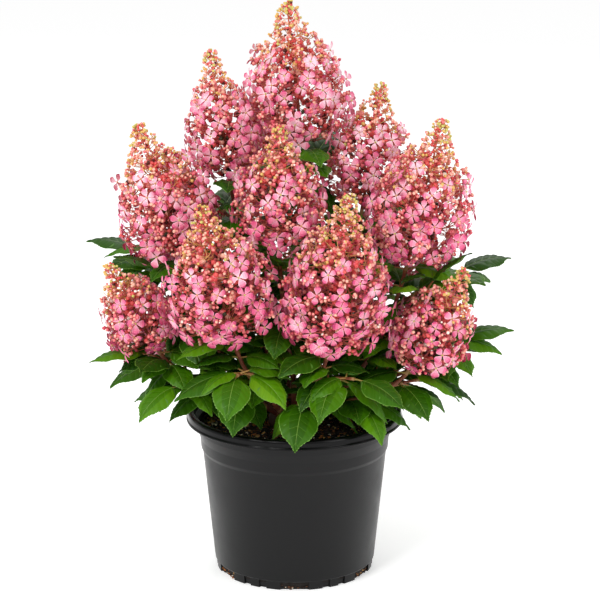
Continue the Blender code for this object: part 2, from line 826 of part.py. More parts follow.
def main():
    for old in list(bpy.data.objects):
        bpy.data.objects.remove(old, do_unlink=True)

    plastic = make_material("black moulded plastic", (0.028, 0.029, 0.031), 0.42)
    soil = make_material("bark potting mix", (0.030, 0.018, 0.011), 0.95)
    bark = make_material("brown bark", (0.165, 0.060, 0.032), 0.72)
    foliage = make_material("green leaf", (0.070, 0.215, 0.022), 0.48)
    petal = make_material("pink petal", (0.800, 0.235, 0.380), 0.55)

    build_pot(plastic)
    build_mix(soil)
    build_crown(bark)

    routes = {name: cane_route(name) for name in HEADS}
    bodies = [as_body(f"head {name}", head_envelope(HEADS[name])) for name in FLOWERING]
    shoots = {}
    for name, route in routes.items():
        _, shape = build_cane(name, route, bark)
        bodies.append(as_body(f"cane {name}", shape))
        shoots[name] = Shoot(name, route)
        bodies.append(as_body(name, shoots[name].stem))
    for name in sorted(shoots, key=lambda key: HEADS[key].height):
        grow_shoot(shoots[name], bodies, routes)
    for shoot in shoots.values():
        build_shoot(shoot, foliage)
    for name in FLOWERING:
        build_head(name, petal)


main()
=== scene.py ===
import json
import math
import random
from typing import NamedTuple

import bpy
import numpy as np
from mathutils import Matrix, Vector, noise
from mathutils.bvhtree import BVHTree
from mathutils.geometry import interpolate_bezier

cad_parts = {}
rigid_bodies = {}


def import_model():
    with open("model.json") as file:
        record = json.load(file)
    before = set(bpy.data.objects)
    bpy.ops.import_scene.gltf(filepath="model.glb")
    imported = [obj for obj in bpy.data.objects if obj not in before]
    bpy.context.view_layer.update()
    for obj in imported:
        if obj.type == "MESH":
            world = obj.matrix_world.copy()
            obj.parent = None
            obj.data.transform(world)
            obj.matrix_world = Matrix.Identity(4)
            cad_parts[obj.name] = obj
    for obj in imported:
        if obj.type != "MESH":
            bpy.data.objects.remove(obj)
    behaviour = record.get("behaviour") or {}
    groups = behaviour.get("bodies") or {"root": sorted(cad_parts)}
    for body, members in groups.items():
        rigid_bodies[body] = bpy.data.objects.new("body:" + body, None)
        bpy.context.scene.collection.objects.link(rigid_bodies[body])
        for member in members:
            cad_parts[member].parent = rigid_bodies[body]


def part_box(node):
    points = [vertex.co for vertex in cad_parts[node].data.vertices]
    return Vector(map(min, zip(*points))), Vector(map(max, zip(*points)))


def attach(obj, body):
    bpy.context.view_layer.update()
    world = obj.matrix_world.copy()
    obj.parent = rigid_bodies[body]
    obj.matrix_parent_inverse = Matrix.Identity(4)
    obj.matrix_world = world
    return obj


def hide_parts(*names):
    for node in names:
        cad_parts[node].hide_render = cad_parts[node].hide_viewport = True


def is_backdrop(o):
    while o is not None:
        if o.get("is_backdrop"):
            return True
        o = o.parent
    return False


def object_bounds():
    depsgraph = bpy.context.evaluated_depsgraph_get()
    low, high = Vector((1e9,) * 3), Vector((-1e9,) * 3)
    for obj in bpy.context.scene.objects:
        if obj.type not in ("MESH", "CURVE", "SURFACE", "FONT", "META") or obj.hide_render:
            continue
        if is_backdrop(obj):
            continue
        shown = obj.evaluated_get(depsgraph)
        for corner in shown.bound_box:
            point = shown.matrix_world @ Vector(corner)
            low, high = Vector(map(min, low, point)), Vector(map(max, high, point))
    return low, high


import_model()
cad_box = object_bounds()


# The pot
# A squat round nursery pot of black polypropylene, injection moulded in one piece. The rim is
# a hooked band, two ring steps stiffen the wall under it, and the foot is set in a little, with
# six drain notches and two shallow channels between each two of them.

POT_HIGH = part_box("pot")[1]
RIM_RADIUS = POT_HIGH[0]
POT_HEIGHT = POT_HIGH[2]
POT_WALL = 0.0025
POT_FLOOR = 0.003
STEP_LEVEL = 0.1590
# The outside of the wall as (radius, height)
POT_BODY = (
    (0.1015, 0.0),
    (0.1021, 0.0110),
    (0.1040, 0.0124),
    (0.1188, STEP_LEVEL),
    (0.1211, 0.1636),
    (0.1219, 0.1764),
    (0.1256, 0.1880),
    (0.1264, 0.1960),
)
RIM_INNER_RADIUS = 0.1305
RIM_DEPTH = 0.0125
RIM_WALL = 0.0022
POT_SIDES = 108
CORNER_ROUND = 0.0010
RIM_BEAD = 0.0022
RIM_BAND_SUNK = 0.0014
RIM_ROLL = 0.0034
CORNER_STEPS = 3
NOTCH_COUNT = 6
NOTCH_WIDTH = 0.036
NOTCH_HEIGHT = 0.0105
NOTCH_DEPTH = 0.0043
CHANNEL_TURN = 6.4
CHANNEL_WIDTH = 0.0100
CHANNEL_DEPTH = 0.0018
GAP_HEIGHT = 0.0026
CUTTER_REACH = 0.012
CUTTER_BELOW = 0.004
POT_EDGE_ANGLE = math.radians(38)
PLASTIC_GRAIN = 0.0006
PLASTIC_SWIRL = 0.035


def linear(colour):
    """An sRGB hex colour as the linear colour that a shader takes."""
    channels = [int(colour[i : i + 2], 16) / 255 for i in (1, 3, 5)]
    curve = [c / 12.92 if c <= 0.04045 else ((c + 0.055) / 1.055) ** 2.4 for c in channels]
    return (*curve, 1.0)


def add_node(material, kind, settings=(), links=()):
    """Adds a shader node with its settings, and joins its inputs to other nodes' outputs."""
    tree = material.node_tree
    node = tree.nodes.new(kind)
    for key, value in dict(settings).items():
        if hasattr(node, key):
            setattr(node, key, value)
        else:
            node.inputs[key].default_value = value
    for key, (source, output) in dict(links).items():
        tree.links.new(source.outputs[output], node.inputs[key])
    return node


def surface(name, colour, roughness, sockets=()):
    """A material of one plain colour, and its shader node, with any other sockets set."""
    material = bpy.data.materials.new(name)
    material.use_nodes = True
    shader = material.node_tree.nodes["Principled BSDF"]
    shader.inputs["Base Color"].default_value = linear(colour)
    shader.inputs["Roughness"].default_value = roughness
    for key, value in dict(sockets).items():
        shader.inputs[key].default_value = value
    return material, shader


def add_piece(name, points, faces, materials, shades=None, edge_angle=math.pi, slot=None):
    """A mesh piece with each face's material by number, which rides on the plant's one body when it is
    given a slot.
    """
    mesh = bpy.data.meshes.new(name)
    mesh.from_pydata(points, [], faces)
    for material in materials:
        mesh.materials.append(material)
    if shades is not None:
        mesh.polygons.foreach_set("material_index", shades)
    mesh.polygons.foreach_set("use_smooth", [True] * len(mesh.polygons))
    if edge_angle < math.pi:
        mesh.set_sharp_from_angle(angle=edge_angle)
    mesh.update()
    piece = bpy.data.objects.new(name, mesh)
    bpy.context.scene.collection.objects.link(piece)
    if slot:
        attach(piece, "root")
    return piece


def ring_faces(rings, sides, start_point=None, end_point=None):
    """Faces of a skin over rings of points, whose ends are capped, or closed on one point."""
    faces = []
    for ring in range(rings - 1):
        for side in range(sides):
            after = (side + 1) % sides
            low, high = ring * sides, (ring + 1) * sides
            faces.append((low + side, low + after, high + after, high + side))
    last = (rings - 1) * sides
    if start_point is None:
        faces.append(tuple(reversed(range(sides))))
    else:
        faces += [(start_point, (side + 1) % sides, side) for side in range(sides)]
    if end_point is None:
        faces.append(tuple(last + side for side in range(sides)))
    else:
        faces += [
            (end_point, last + side, last + (side + 1) % sides) for side in range(sides)
        ]
    return faces


def turned_shape(profile, sides, place=lambda point: point):
    """Points and faces of a profile turned about Z. Its first and last points are on the axis."""
    points = []
    for radius, height in profile[1:-1]:
        for side in range(sides):
            turn = math.tau * side / sides
            points.append(
                place(Vector((radius * math.cos(turn), radius * math.sin(turn), height)))
            )
    first, last = len(points), len(points) + 1
    points.append(place(Vector((0.0, 0.0, profile[0][1]))))
    points.append(place(Vector((0.0, 0.0, profile[-1][1]))))
    return points, ring_faces(len(profile) - 2, sides, first, last)


def rounded(corners):
    """A profile whose inner corners are each turned into a short curve."""
    corners = [Vector(corner) for corner in corners]
    profile = [corners[0]]
    for before, here, after in zip(corners, corners[1:], corners[2:]):
        back, ahead = before - here, after - here
        start = here + back.normalized() * min(CORNER_ROUND, back.length * 0.48)
        end = here + ahead.normalized() * min(CORNER_ROUND, ahead.length * 0.48)
        for step in range(CORNER_STEPS + 1):
            share = step / CORNER_STEPS
            profile.append(
                start * (1 - share) ** 2 + here * 2 * share * (1 - share) + end * share**2
            )
    profile.append(corners[-1])
    return [tuple(point) for point in profile]


def inside_radius(height):
    """Inner radius of the pot's wall at a height."""
    inner = [(radius - POT_WALL, level) for radius, level in POT_BODY]
    for (low_radius, low), (high_radius, high) in zip(inner, inner[1:]):
        if low <= height <= high:
            return low_radius + (high_radius - low_radius) * (height - low) / (high - low)
    return inner[-1][0]


def pot_profile():
    """Up the outside, round the hooked rim, down the inside and in to the floor's middle."""
    under = POT_HEIGHT - RIM_DEPTH
    # The hook's corners, placed by shares of its wall, its bead, its sunk band and its roll
    rim = [
        (RIM_INNER_RADIUS + RIM_WALL * 0.5, under + RIM_WALL),
        (RIM_INNER_RADIUS + RIM_WALL, POT_HEIGHT - RIM_WALL),
        (RIM_RADIUS - RIM_WALL * 2.2, POT_HEIGHT - RIM_WALL),
        (RIM_RADIUS - RIM_WALL, under + RIM_BEAD * 2.0),
        (RIM_RADIUS - RIM_WALL, under),
        (RIM_RADIUS, under),
        (RIM_RADIUS, under + RIM_BEAD),
        (RIM_RADIUS - RIM_BAND_SUNK, under + RIM_BEAD * 1.6),
        (RIM_RADIUS - RIM_BAND_SUNK * 1.2, POT_HEIGHT - RIM_ROLL),
        (RIM_RADIUS - RIM_BAND_SUNK * 2.0, POT_HEIGHT - RIM_ROLL * 0.3),
        (RIM_RADIUS - RIM_BAND_SUNK - RIM_ROLL, POT_HEIGHT),
        (RIM_INNER_RADIUS + RIM_ROLL * 0.5, POT_HEIGHT),
        (RIM_INNER_RADIUS, POT_HEIGHT - RIM_ROLL * 0.3),
        (RIM_INNER_RADIUS - RIM_WALL * 0.5, under + RIM_WALL),
    ]
    levels = [level for _, level in reversed(POT_BODY[1:]) if level > POT_FLOOR]
    inside = [(inside_radius(level), level) for level in levels]
    floor = [(inside_radius(POT_FLOOR), POT_FLOOR), (0.0, POT_FLOOR)]
    return rounded([(0.0, 0.0), *POT_BODY, *rim, *inside, *floor])


def heading(bearing):
    """The level direction of a bearing, in degrees from +X towards +Y."""
    turn = math.radians(bearing)
    return Vector((math.cos(turn), math.sin(turn), 0.0))


UP = Vector((0.0, 0.0, 1.0))


def foot_cutter(bearing, width, inner, outer, height, collection):
    """A block that cuts the pot's foot, from an inner to an outer radius."""
    out = heading(bearing)
    across = out.cross(UP) * (width / 2)
    corners = [
        out * radius + across * side + UP * level
        for level in (-CUTTER_BELOW, height)
        for radius, side in ((inner, 1), (outer, 1), (outer, -1), (inner, -1))
    ]
    cutter = add_piece(f"cutter_{len(collection.objects)}", corners, ring_faces(2, 4), [])
    bpy.context.scene.collection.objects.unlink(cutter)
    collection.objects.link(cutter)


def pot_plastic(name, colour, gloss, shine):
    """Black polypropylene: a satin skin with a fine moulded grain and faint flow marks."""
    material, shader = surface(name, colour, gloss, {"Specular IOR Level": shine})
    place = add_node(material, "ShaderNodeTexCoord")
    swirl = add_node(
        material,
        "ShaderNodeTexNoise",
        {"Scale": 1 / PLASTIC_SWIRL, "Detail": 3.0, "Roughness": 0.55},
        {"Vector": (place, "Object")},
    )
    satin = add_node(
        material,
        "ShaderNodeMapRange",
        {"From Min": 0.3, "From Max": 0.7, "To Min": gloss - 0.04, "To Max": gloss + 0.08},
        {"Value": (swirl, "Fac")},
    )
    grain = add_node(
        material,
        "ShaderNodeTexNoise",
        {"Scale": 1 / PLASTIC_GRAIN, "Detail": 2.0},
        {"Vector": (place, "Object")},
    )
    bump = add_node(
        material,
        "ShaderNodeBump",
        {"Strength": 0.10, "Distance": 0.0003},
        {"Height": (grain, "Fac")},
    )
    material.node_tree.links.new(satin.outputs["Result"], shader.inputs["Roughness"])
    material.node_tree.links.new(bump.outputs["Normal"], shader.inputs["Normal"])
    return material


# The wall is satin from its etched mould and the rim is glossier, with less shine. The rim's blacker
# colour is painted shade, for the dark foliage that it reflects
pot_materials = [
    pot_plastic("satin black polypropylene", "#0D0D0E", 0.34, 0.24),
    pot_plastic("polished black polypropylene", "#060607", 0.20, 0.17),
]
pot = add_piece("pot_shell", *turned_shape(pot_profile(), POT_SIDES), pot_materials)
cutters = bpy.data.collections.new("foot_cutters")
bpy.context.scene.collection.children.link(cutters)
foot_radius = POT_BODY[0][0]
outer = foot_radius + CUTTER_REACH
for notch in range(NOTCH_COUNT):
    bearing = -90 + 360 * notch / NOTCH_COUNT
    foot_cutter(bearing, NOTCH_WIDTH, foot_radius - NOTCH_DEPTH, outer, NOTCH_HEIGHT, cutters)
    for side in (-CHANNEL_TURN, CHANNEL_TURN):
        between = bearing + 180 / NOTCH_COUNT + side
        channel = foot_radius - CHANNEL_DEPTH
        foot_cutter(between, CHANNEL_WIDTH, channel, outer, POT_BODY[1][1], cutters)
        gap = foot_radius - NOTCH_DEPTH
        foot_cutter(between, CHANNEL_WIDTH * 0.9, gap, outer, GAP_HEIGHT, cutters)
cut = pot.modifiers.new("foot", "BOOLEAN")
cut.operation = "DIFFERENCE"
cut.operand_type = "COLLECTION"
cut.collection = cutters
cut.solver = "EXACT"
depsgraph = bpy.context.evaluated_depsgraph_get()
cut_mesh = bpy.data.meshes.new_from_object(pot.evaluated_get(depsgraph))
pot.modifiers.clear()
pot.data = cut_mesh
pot.data.set_sharp_from_angle(angle=POT_EDGE_ANGLE)
# The rim's faces take the second material, whose blacker colour is painted shade of the reflected
# foliage
for face in pot.data.polygons:
    reach = math.hypot(face.center.x, face.center.y)
    high = face.center.z > POT_HEIGHT - RIM_DEPTH - POT_WALL
    face.material_index = int(high and reach > RIM_INNER_RADIUS - POT_WALL)
for cutter in list(cutters.objects):
    bpy.data.objects.remove(cutter, do_unlink=True)
bpy.data.collections.remove(cutters)
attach(pot, "root")
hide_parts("pot")


# The potting mix
# Damp composted pine bark and peat with a little perlite, filled loose and settled to a finger's
# width under the rim. The bed is a crumbly dark mass, and the coarse bits lie on it one by one.

MIX_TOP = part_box("potting_mix")[1][2]
MIX_CLEAR = 0.00045
MIX_SEAT = 0.0003
MIX_RINGS = 30
MIX_SIDES = 96
MIX_SURFACE = MIX_TOP - 0.0035
CRUMB_SIZES = ((0.021, 0.0020), (0.0075, 0.0011))
CHIP_COUNT = 3300
CHIPS_PER_NOTCH = 90
NOTCH_CHIP_LENGTHS = (0.0022, 0.0050)
CHIP_LENGTHS = (0.0030, 0.0095)
# How the loose bits lie: clear of the wall, and a little in or on the bed
CHIPS_CLEAR = 0.007
CHIP_LIFTS = (-0.0004, 0.0014)
CHIPS_ABOVE_GROUND = 0.0004
# How they fill a notch: its width's share, how deep in and how high, and the wall's bow
NOTCH_FILLED = 0.92
NOTCH_INWARD = (0.0022, 0.0044)
NOTCH_CHIPS_FROM = 0.0012
NOTCH_BOW = 4.5
CHIP_TINTS = ("#110B08", "#20150E", "#3A2416", "#6B4024", "#A2632F", "#C99B62", "#EADFCB")
CHIP_SHARES = (0.28, 0.23, 0.18, 0.13, 0.09, 0.06, 0.03)


class Pile:
    """Many small shapes, gathered as arrays, which become one mesh at the end."""

    def __init__(self):
        self.points, self.faces, self.shades, self.count = [], [], [], 0

    def add(self, points, faces, shades):
        """Adds one shape, with one shade for it all or one for each of its faces."""
        faces = np.asarray(faces)
        self.points.append(np.asarray(points, float).reshape(-1, 3))
        self.faces.append(faces + self.count)
        self.shades.append(np.broadcast_to(shades, len(faces)))
        self.count += len(self.points[-1])

    def add_copies(self, shapes, faces, shades):
        """Adds many shapes that share their faces: shapes is an array of each one's points."""
        copies, size = shapes.shape[:2]
        steps = (np.arange(copies) * size)[:, None, None]
        shades = np.broadcast_to(shades, (copies, len(faces)))
        self.add(shapes, (faces[None] + steps).reshape(-1, 3), shades.ravel())

    def make(self, name, materials, slot):
        points = np.concatenate(self.points)
        faces = np.concatenate(self.faces)
        shades = np.concatenate(self.shades).astype(np.int32)
        return add_piece(name, points, faces, materials, shades, slot=slot)


def tints(name, colours, roughness, sockets=()):
    """One plain material for each colour of a set."""
    return [
        surface(f"{name} {i + 1}", colour, roughness, sockets)[0]
        for i, colour in enumerate(colours)
    ]


def turned_about(spins, tilts, leans):
    """Rotation matrices, one for each row: a spin about Z, then a tilt, then a turn about Z."""
    def about(axis, angles):
        matrices = np.zeros((len(angles), 3, 3))
        a, b = (axis + 1) % 3, (axis + 2) % 3
        matrices[:, axis, axis] = 1.0
        matrices[:, a, a] = matrices[:, b, b] = np.cos(angles)
        matrices[:, b, a] = np.sin(angles)
        matrices[:, a, b] = -np.sin(angles)
        return matrices

    return about(2, leans) @ about(0, tilts) @ about(2, spins)


BLOCK_FACES = np.array(
    [
        face
        for quad in ((3, 2, 1, 0), (4, 5, 6, 7), (0, 1, 5, 4), (1, 2, 6, 5), (2, 3, 7, 6), (3, 0, 4, 7))
        for face in (quad[:3], (quad[0], quad[2], quad[3]))
    ]
)
BLOCK_CORNERS = np.array(
    [(x, y, z) for z in (-0.5, 0.5) for x, y in ((-0.5, -0.5), (0.5, -0.5), (0.5, 0.5), (-0.5, 0.5))]
)


def chips(centres, lengths, rng):
    """Broken bits of bark at the given places, lying every way, as an array of blocks."""
    count = len(centres)
    lengths = rng.uniform(*lengths, count) * rng.uniform(0.5, 1.0, count)
    sizes = lengths[:, None] * np.stack(
        [np.ones(count), rng.uniform(0.4, 0.9, count), rng.uniform(0.18, 0.5, count)], axis=1
    )
    corners = BLOCK_CORNERS[None] * rng.uniform(0.55, 1.15, (count, 8, 3)) * sizes[:, None]
    turns = turned_about(
        rng.uniform(0, math.tau, count), rng.normal(0.0, 0.45, count), rng.uniform(0, math.tau, count)
    )
    return centres[:, None] + corners @ turns.transpose(0, 2, 1)


def mix_height(x, y):
    """Height of the bed's crumbly surface."""
    height = MIX_SURFACE
    for size, depth in CRUMB_SIZES:
        height += depth * noise.noise(Vector((x / size, y / size, size)))
    return height


def mix_material():
    """Damp composted bark: matt, nearly black, with browner crumbs."""
    material, shader = surface("damp bark potting mix", "#140E0A", 0.93)
    place = add_node(material, "ShaderNodeTexCoord")
    crumbs = add_node(
        material,
        "ShaderNodeTexVoronoi",
        {"Scale": 1 / 0.004},
        {"Vector": (place, "Object")},
    )
    colours = add_node(material, "ShaderNodeValToRGB", (), {"Fac": (crumbs, "Distance")})
    colours.color_ramp.elements[0].color = linear("#20160F")
    colours.color_ramp.elements[1].color = linear("#0B0705")
    bump = add_node(
        material,
        "ShaderNodeBump",
        {"Strength": 0.7, "Distance": 0.001},
        {"Height": (crumbs, "Distance")},
    )
    material.node_tree.links.new(colours.outputs["Color"], shader.inputs["Base Color"])
    material.node_tree.links.new(bump.outputs["Normal"], shader.inputs["Normal"])
    return material


def build_mix():
    """The settled bed: a plug that fills the pot, with a crumbly top."""
    points = []
    levels = (POT_FLOOR + MIX_SEAT, POT_BODY[2][1], STEP_LEVEL, MIX_SURFACE - 0.004)
    rings = [(inside_radius(level) - MIX_CLEAR, level) for level in levels]
    edge = inside_radius(MIX_SURFACE) - MIX_CLEAR
    for radius, level in rings:
        for side in range(MIX_SIDES):
            turn = math.tau * side / MIX_SIDES
            points.append((radius * math.cos(turn), radius * math.sin(turn), level))
    for ring in range(MIX_RINGS, 0, -1):
        radius = edge * ring / MIX_RINGS
        for side in range(MIX_SIDES):
            turn = math.tau * side / MIX_SIDES
            x, y = radius * math.cos(turn), radius * math.sin(turn)
            points.append((x, y, mix_height(x, y)))
    first, last = len(points), len(points) + 1
    points += [(0.0, 0.0, levels[0]), (0.0, 0.0, mix_height(0.0, 0.0))]
    faces = ring_faces(len(rings) + MIX_RINGS, MIX_SIDES, first, last)
    mix = add_piece("potting_mix_bed", points, faces, [mix_material()], slot="potting_mix")
    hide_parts("potting_mix")


def scatter_chips():
    rng = np.random.default_rng(11)
    edge = inside_radius(MIX_SURFACE) - CHIPS_CLEAR
    radii = edge * np.sqrt(rng.uniform(0, 1, CHIP_COUNT))
    turns = rng.uniform(0, math.tau, CHIP_COUNT)
    flat = np.stack([radii * np.cos(turns), radii * np.sin(turns)], axis=1)
    levels = np.array([mix_height(x, y) for x, y in flat])
    levels += rng.uniform(*CHIP_LIFTS, CHIP_COUNT)
    shapes = [chips(np.column_stack([flat, levels]), CHIP_LENGTHS, rng)]
    for notch in range(NOTCH_COUNT):
        out = np.array(heading(-90 + 360 * notch / NOTCH_COUNT))
        across = np.array([-out[1], out[0], 0.0])
        spread = rng.uniform(-0.5, 0.5, (CHIPS_PER_NOTCH, 1)) * NOTCH_WIDTH * NOTCH_FILLED
        inward = rng.uniform(*NOTCH_INWARD, (CHIPS_PER_NOTCH, 1))
        depth = POT_BODY[0][0] - inward - spread**2 * NOTCH_BOW
        height = rng.uniform(NOTCH_CHIPS_FROM, NOTCH_HEIGHT, (CHIPS_PER_NOTCH, 1))
        centres = out * depth + across * spread + np.array(UP) * height
        shapes.append(chips(centres, NOTCH_CHIP_LENGTHS, rng))
    shapes = np.concatenate(shapes)
    shapes[:, :, 2] = np.maximum(shapes[:, :, 2], CHIPS_ABOVE_GROUND)
    pile = Pile()
    shades = rng.choice(len(CHIP_TINTS), len(shapes), p=CHIP_SHARES)
    pile.add_copies(shapes, BLOCK_FACES, shades[:, None])
    materials = tints("bark bit", CHIP_TINTS, 0.9)
    bits = pile.make("bark_bits", materials, "potting_mix")
    bits.data.polygons.foreach_set("use_smooth", [False] * len(bits.data.polygons))


build_mix()
scatter_chips()


# The woody crown
# The low stump that all the canes spring from, where years of pruning left the wood knobbly.
# Its bark is grey-brown, dry and finely split.

SEAT = 0.0003
CROWN_BALL = 0.034
CROWN_SUNK = 0.006
CROWN_CENTRE = Vector((0.0, 0.0, MIX_TOP + SEAT - CROWN_SUNK))
CROWN_SIDES = 64
CROWN_RINGS = 18
CROWN_KNOBS = 0.016
CROWN_KNOB_HEIGHT = 0.0022
BARK_TINTS = ("#4A2417", "#6A3320", "#7C3F26", "#8F5534", "#A07A4C")


def bark_material(name, colour):
    """Young bark: smooth and faintly glossy between fine splits that run up the cane."""
    material, shader = surface(name, colour, 0.62)
    place = add_node(material, "ShaderNodeTexCoord")
    stretch = add_node(
        material,
        "ShaderNodeMapping",
        {"Scale": (1 / 0.0011, 1 / 0.0011, 1 / 0.006)},
        {"Vector": (place, "Object")},
    )
    splits = add_node(
        material,
        "ShaderNodeTexNoise",
        {"Scale": 1.0, "Detail": 3.0},
        {"Vector": (stretch, "Vector")},
    )
    bump = add_node(
        material,
        "ShaderNodeBump",
        {"Strength": 0.5, "Distance": 0.0004},
        {"Height": (splits, "Fac")},
    )
    material.node_tree.links.new(bump.outputs["Normal"], shader.inputs["Normal"])
    return material


barks = [bark_material(f"hydrangea bark {i + 1}", tint) for i, tint in enumerate(BARK_TINTS)]


def build_crown():
    start = math.asin(CROWN_SUNK / CROWN_BALL)
    foot = MIX_SURFACE - 0.004
    profile = [(0.0, foot), (CROWN_BALL * math.cos(start), foot)]
    for ring in range(CROWN_RINGS):
        rise = start + (math.pi / 2 - start) * ring / CROWN_RINGS
        profile.append(
            (CROWN_BALL * math.cos(rise), CROWN_CENTRE.z + CROWN_BALL * math.sin(rise))
        )
    profile.append((0.0, CROWN_CENTRE.z + CROWN_BALL))
    points, faces = turned_shape(profile, CROWN_SIDES)
    knobbly = []
    for point in points:
        out = (point - CROWN_CENTRE).normalized()
        bulge = noise.fractal(point / CROWN_KNOBS, 0.9, 2.0, 3)
        knobbly.append(point + out * CROWN_KNOB_HEIGHT * bulge)
    crown = add_piece("crown_wood", knobbly, faces, [barks[0]], slot="bark")
    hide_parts("root_crown")


build_crown()


# The canes
# One straight-grown cane for each flower head, and three leafy ones, sprung from the crown in
# two rings. The bark is red-brown, with a tan swollen joint wherever leaves or a twig leave it.


class Head(NamedTuple):
    """A cane's upper end: where it stands, how it leans, its ring on the crown, its head's size."""

    bearing: float
    reach: float
    height: float
    leans_to: float
    lean: float
    ring: str
    length: float = 0.0
    radius: float = 0.0


HEADS = {
    "top": Head(82, 0.071, 0.546, 180, 6, "inner", 0.184, 0.068),
    "upper_left": Head(150, 0.096, 0.506, 160, 9, "inner", 0.165, 0.046),
    "upper_right": Head(38, 0.112, 0.466, 40, 11, "inner", 0.157, 0.056),
    "left": Head(180, 0.143, 0.419, 188, 18, "outer", 0.174, 0.064),
    "right": Head(-8, 0.145, 0.414, -18, 13, "outer", 0.188, 0.065),
    "middle": Head(-118, 0.040, 0.437, -90, 4, "inner", 0.154, 0.058),
    "front_left": Head(-129, 0.124, 0.338, -142, 15, "outer", 0.174, 0.068),
    "front_right": Head(-66, 0.104, 0.320, -48, 10, "outer", 0.205, 0.069),
    "low_left": Head(-166, 0.182, 0.309, -165, 28, "outer", 0.124, 0.046),
    "low_right": Head(-20, 0.158, 0.285, -17, 28, "outer", 0.146, 0.048),
    "back_high": Head(101, 0.178, 0.440, 96, 8, "inner", 0.168, 0.056),
    "back_left": Head(139, 0.180, 0.366, 140, 14, "inner", 0.164, 0.058),
    "back_right": Head(48, 0.182, 0.352, 46, 13, "inner", 0.164, 0.058),
    "back_middle": Head(84, 0.190, 0.285, 84, 18, "outer", 0.146, 0.056),
    "back_low_left": Head(156, 0.196, 0.256, 156, 26, "outer", 0.122, 0.046),
    "back_low_right": Head(34, 0.192, 0.240, 34, 26, "outer", 0.120, 0.046),
    # The leafy canes have no head
    "side_left": Head(163, 0.192, 0.418, 175, 30, "outer"),
    "side_right": Head(14, 0.192, 0.402, 10, 10, "outer"),
    "side_low": Head(4, 0.200, 0.305, 2, 30, "outer"),
}
FLOWERING = [name for name in HEADS if HEADS[name].length]
FRONT = ("middle", "front_left", "front_right", "low_left", "low_right", "left", "right", "top")
CANE_FOOT_RADIUS = 0.0040
CANE_TOP_RADIUS = 0.0030
SHOOT_TOP_RADIUS = 0.0024
CANE_SIDES = 5
CANE_SPACING = 0.022
STEM_SIDES = 3
BARE_SHARE = 0.26
BARE_LEAST = 0.036
BARE_MOST = 0.075
PATH_STEPS = 48
PATH_MARK_EVERY = 6
DIRECTION_REACH = 0.003
STEEP = 0.8
SWEEP = 0.38
RING_ELEVATION = {"outer": 36.0, "inner": 66.0}
NODE_SPACING = 0.047
NODE_BELOW_HEAD = 0.013
NODE_ABOVE_CANE = 0.009
# The finer wood that shows
WOOD_SIDES = 10
WOOD_STEP = 0.0035
WOOD_SUNK = 0.004
JOINT_SWELL = 0.22
JOINT_LENGTH = 0.0035
CANE_JOINT_AT = 0.55
BARK_RIPPLE = 0.05
BARK_RIPPLE_SIZE = 0.006


def head_axis(head):
    """Direction of a flower head's axis."""
    lean = math.radians(head.lean)
    return heading(head.leans_to) * math.sin(lean) + UP * math.cos(lean)


def head_foot(head):
    return heading(head.bearing) * head.reach + UP * head.height


def crown_direction(name):
    """The way a cane leaves the crown: its ring's canes share the circle evenly, in turn."""
    ring = HEADS[name].ring
    bearings = {key: head.bearing % 360 for key, head in HEADS.items() if head.ring == ring}
    order = sorted(bearings, key=bearings.get)
    share = 360.0 / len(order)
    offsets = [bearings[key] - i * share for i, key in enumerate(order)]
    bearing = order.index(name) * share + sum(offsets) / len(offsets)
    rise = math.radians(RING_ELEVATION[ring])
    return heading(bearing) * math.cos(rise) + UP * math.sin(rise)


class Route:
    """A smooth curve that can be asked for its point and direction at a length along it."""

    def __init__(self, points):
        self.points = points
        self.marks = [0.0]
        for a, b in zip(points, points[1:]):
            self.marks.append(self.marks[-1] + (b - a).length)
        self.length = self.marks[-1]

    def at(self, distance):
        distance = min(max(distance, 0.0), self.length)
        step = 0
        while step < len(self.points) - 2 and self.marks[step + 1] < distance:
            step += 1
        share = (distance - self.marks[step]) / (self.marks[step + 1] - self.marks[step])
        return self.points[step].lerp(self.points[step + 1], share)

    def direction(self, distance):
        after = self.at(distance + DIRECTION_REACH)
        return (after - self.at(distance - DIRECTION_REACH)).normalized()


def cane_route(name):
    """From just off the crown to the foot of the flower head, along one easy curve."""
    head = HEADS[name]
    out = crown_direction(name)
    start = CROWN_CENTRE + out * (CROWN_BALL + SEAT)
    end = head_foot(head)
    pull = (end - start).length * SWEEP
    handle = end - head_axis(head) * pull
    return Route(interpolate_bezier(start, start + out * pull, handle, end, PATH_STEPS))


def bare_length(route):
    return min(max(route.length * BARE_SHARE, BARE_LEAST), BARE_MOST)


def plain_tube(stations, sides, turn=0.0):
    """The source's own plain tube through (centre, direction, radius) stations."""
    average = sum((direction for _, direction, _ in stations), Vector()).normalized()
    guide = Vector((1.0, 0.0, 0.0)) if abs(average.z) > STEEP else UP
    points = []
    for centre, direction, radius in stations:
        across = (guide - direction * guide.dot(direction)).normalized()
        beside = direction.cross(across)
        for side in range(sides):
            angle = turn + math.tau * side / sides
            points.append(centre + (across * math.cos(angle) + beside * math.sin(angle)) * radius)
    return points, ring_faces(len(stations), sides)


def plain_cane(name, route):
    """The source's own plain cane, which leaves have to stay clear of."""
    end = bare_length(route)
    count = max(2, round(end / CANE_SPACING) + 1)
    stations = [(route.at(0.0), crown_direction(name), CANE_FOOT_RADIUS)]
    for i in range(1, count):
        share = i / (count - 1)
        radius = CANE_FOOT_RADIUS + (CANE_TOP_RADIUS - CANE_FOOT_RADIUS) * share
        stations.append((route.at(end * share), route.direction(end * share), radius))
    return plain_tube(stations, CANE_SIDES)


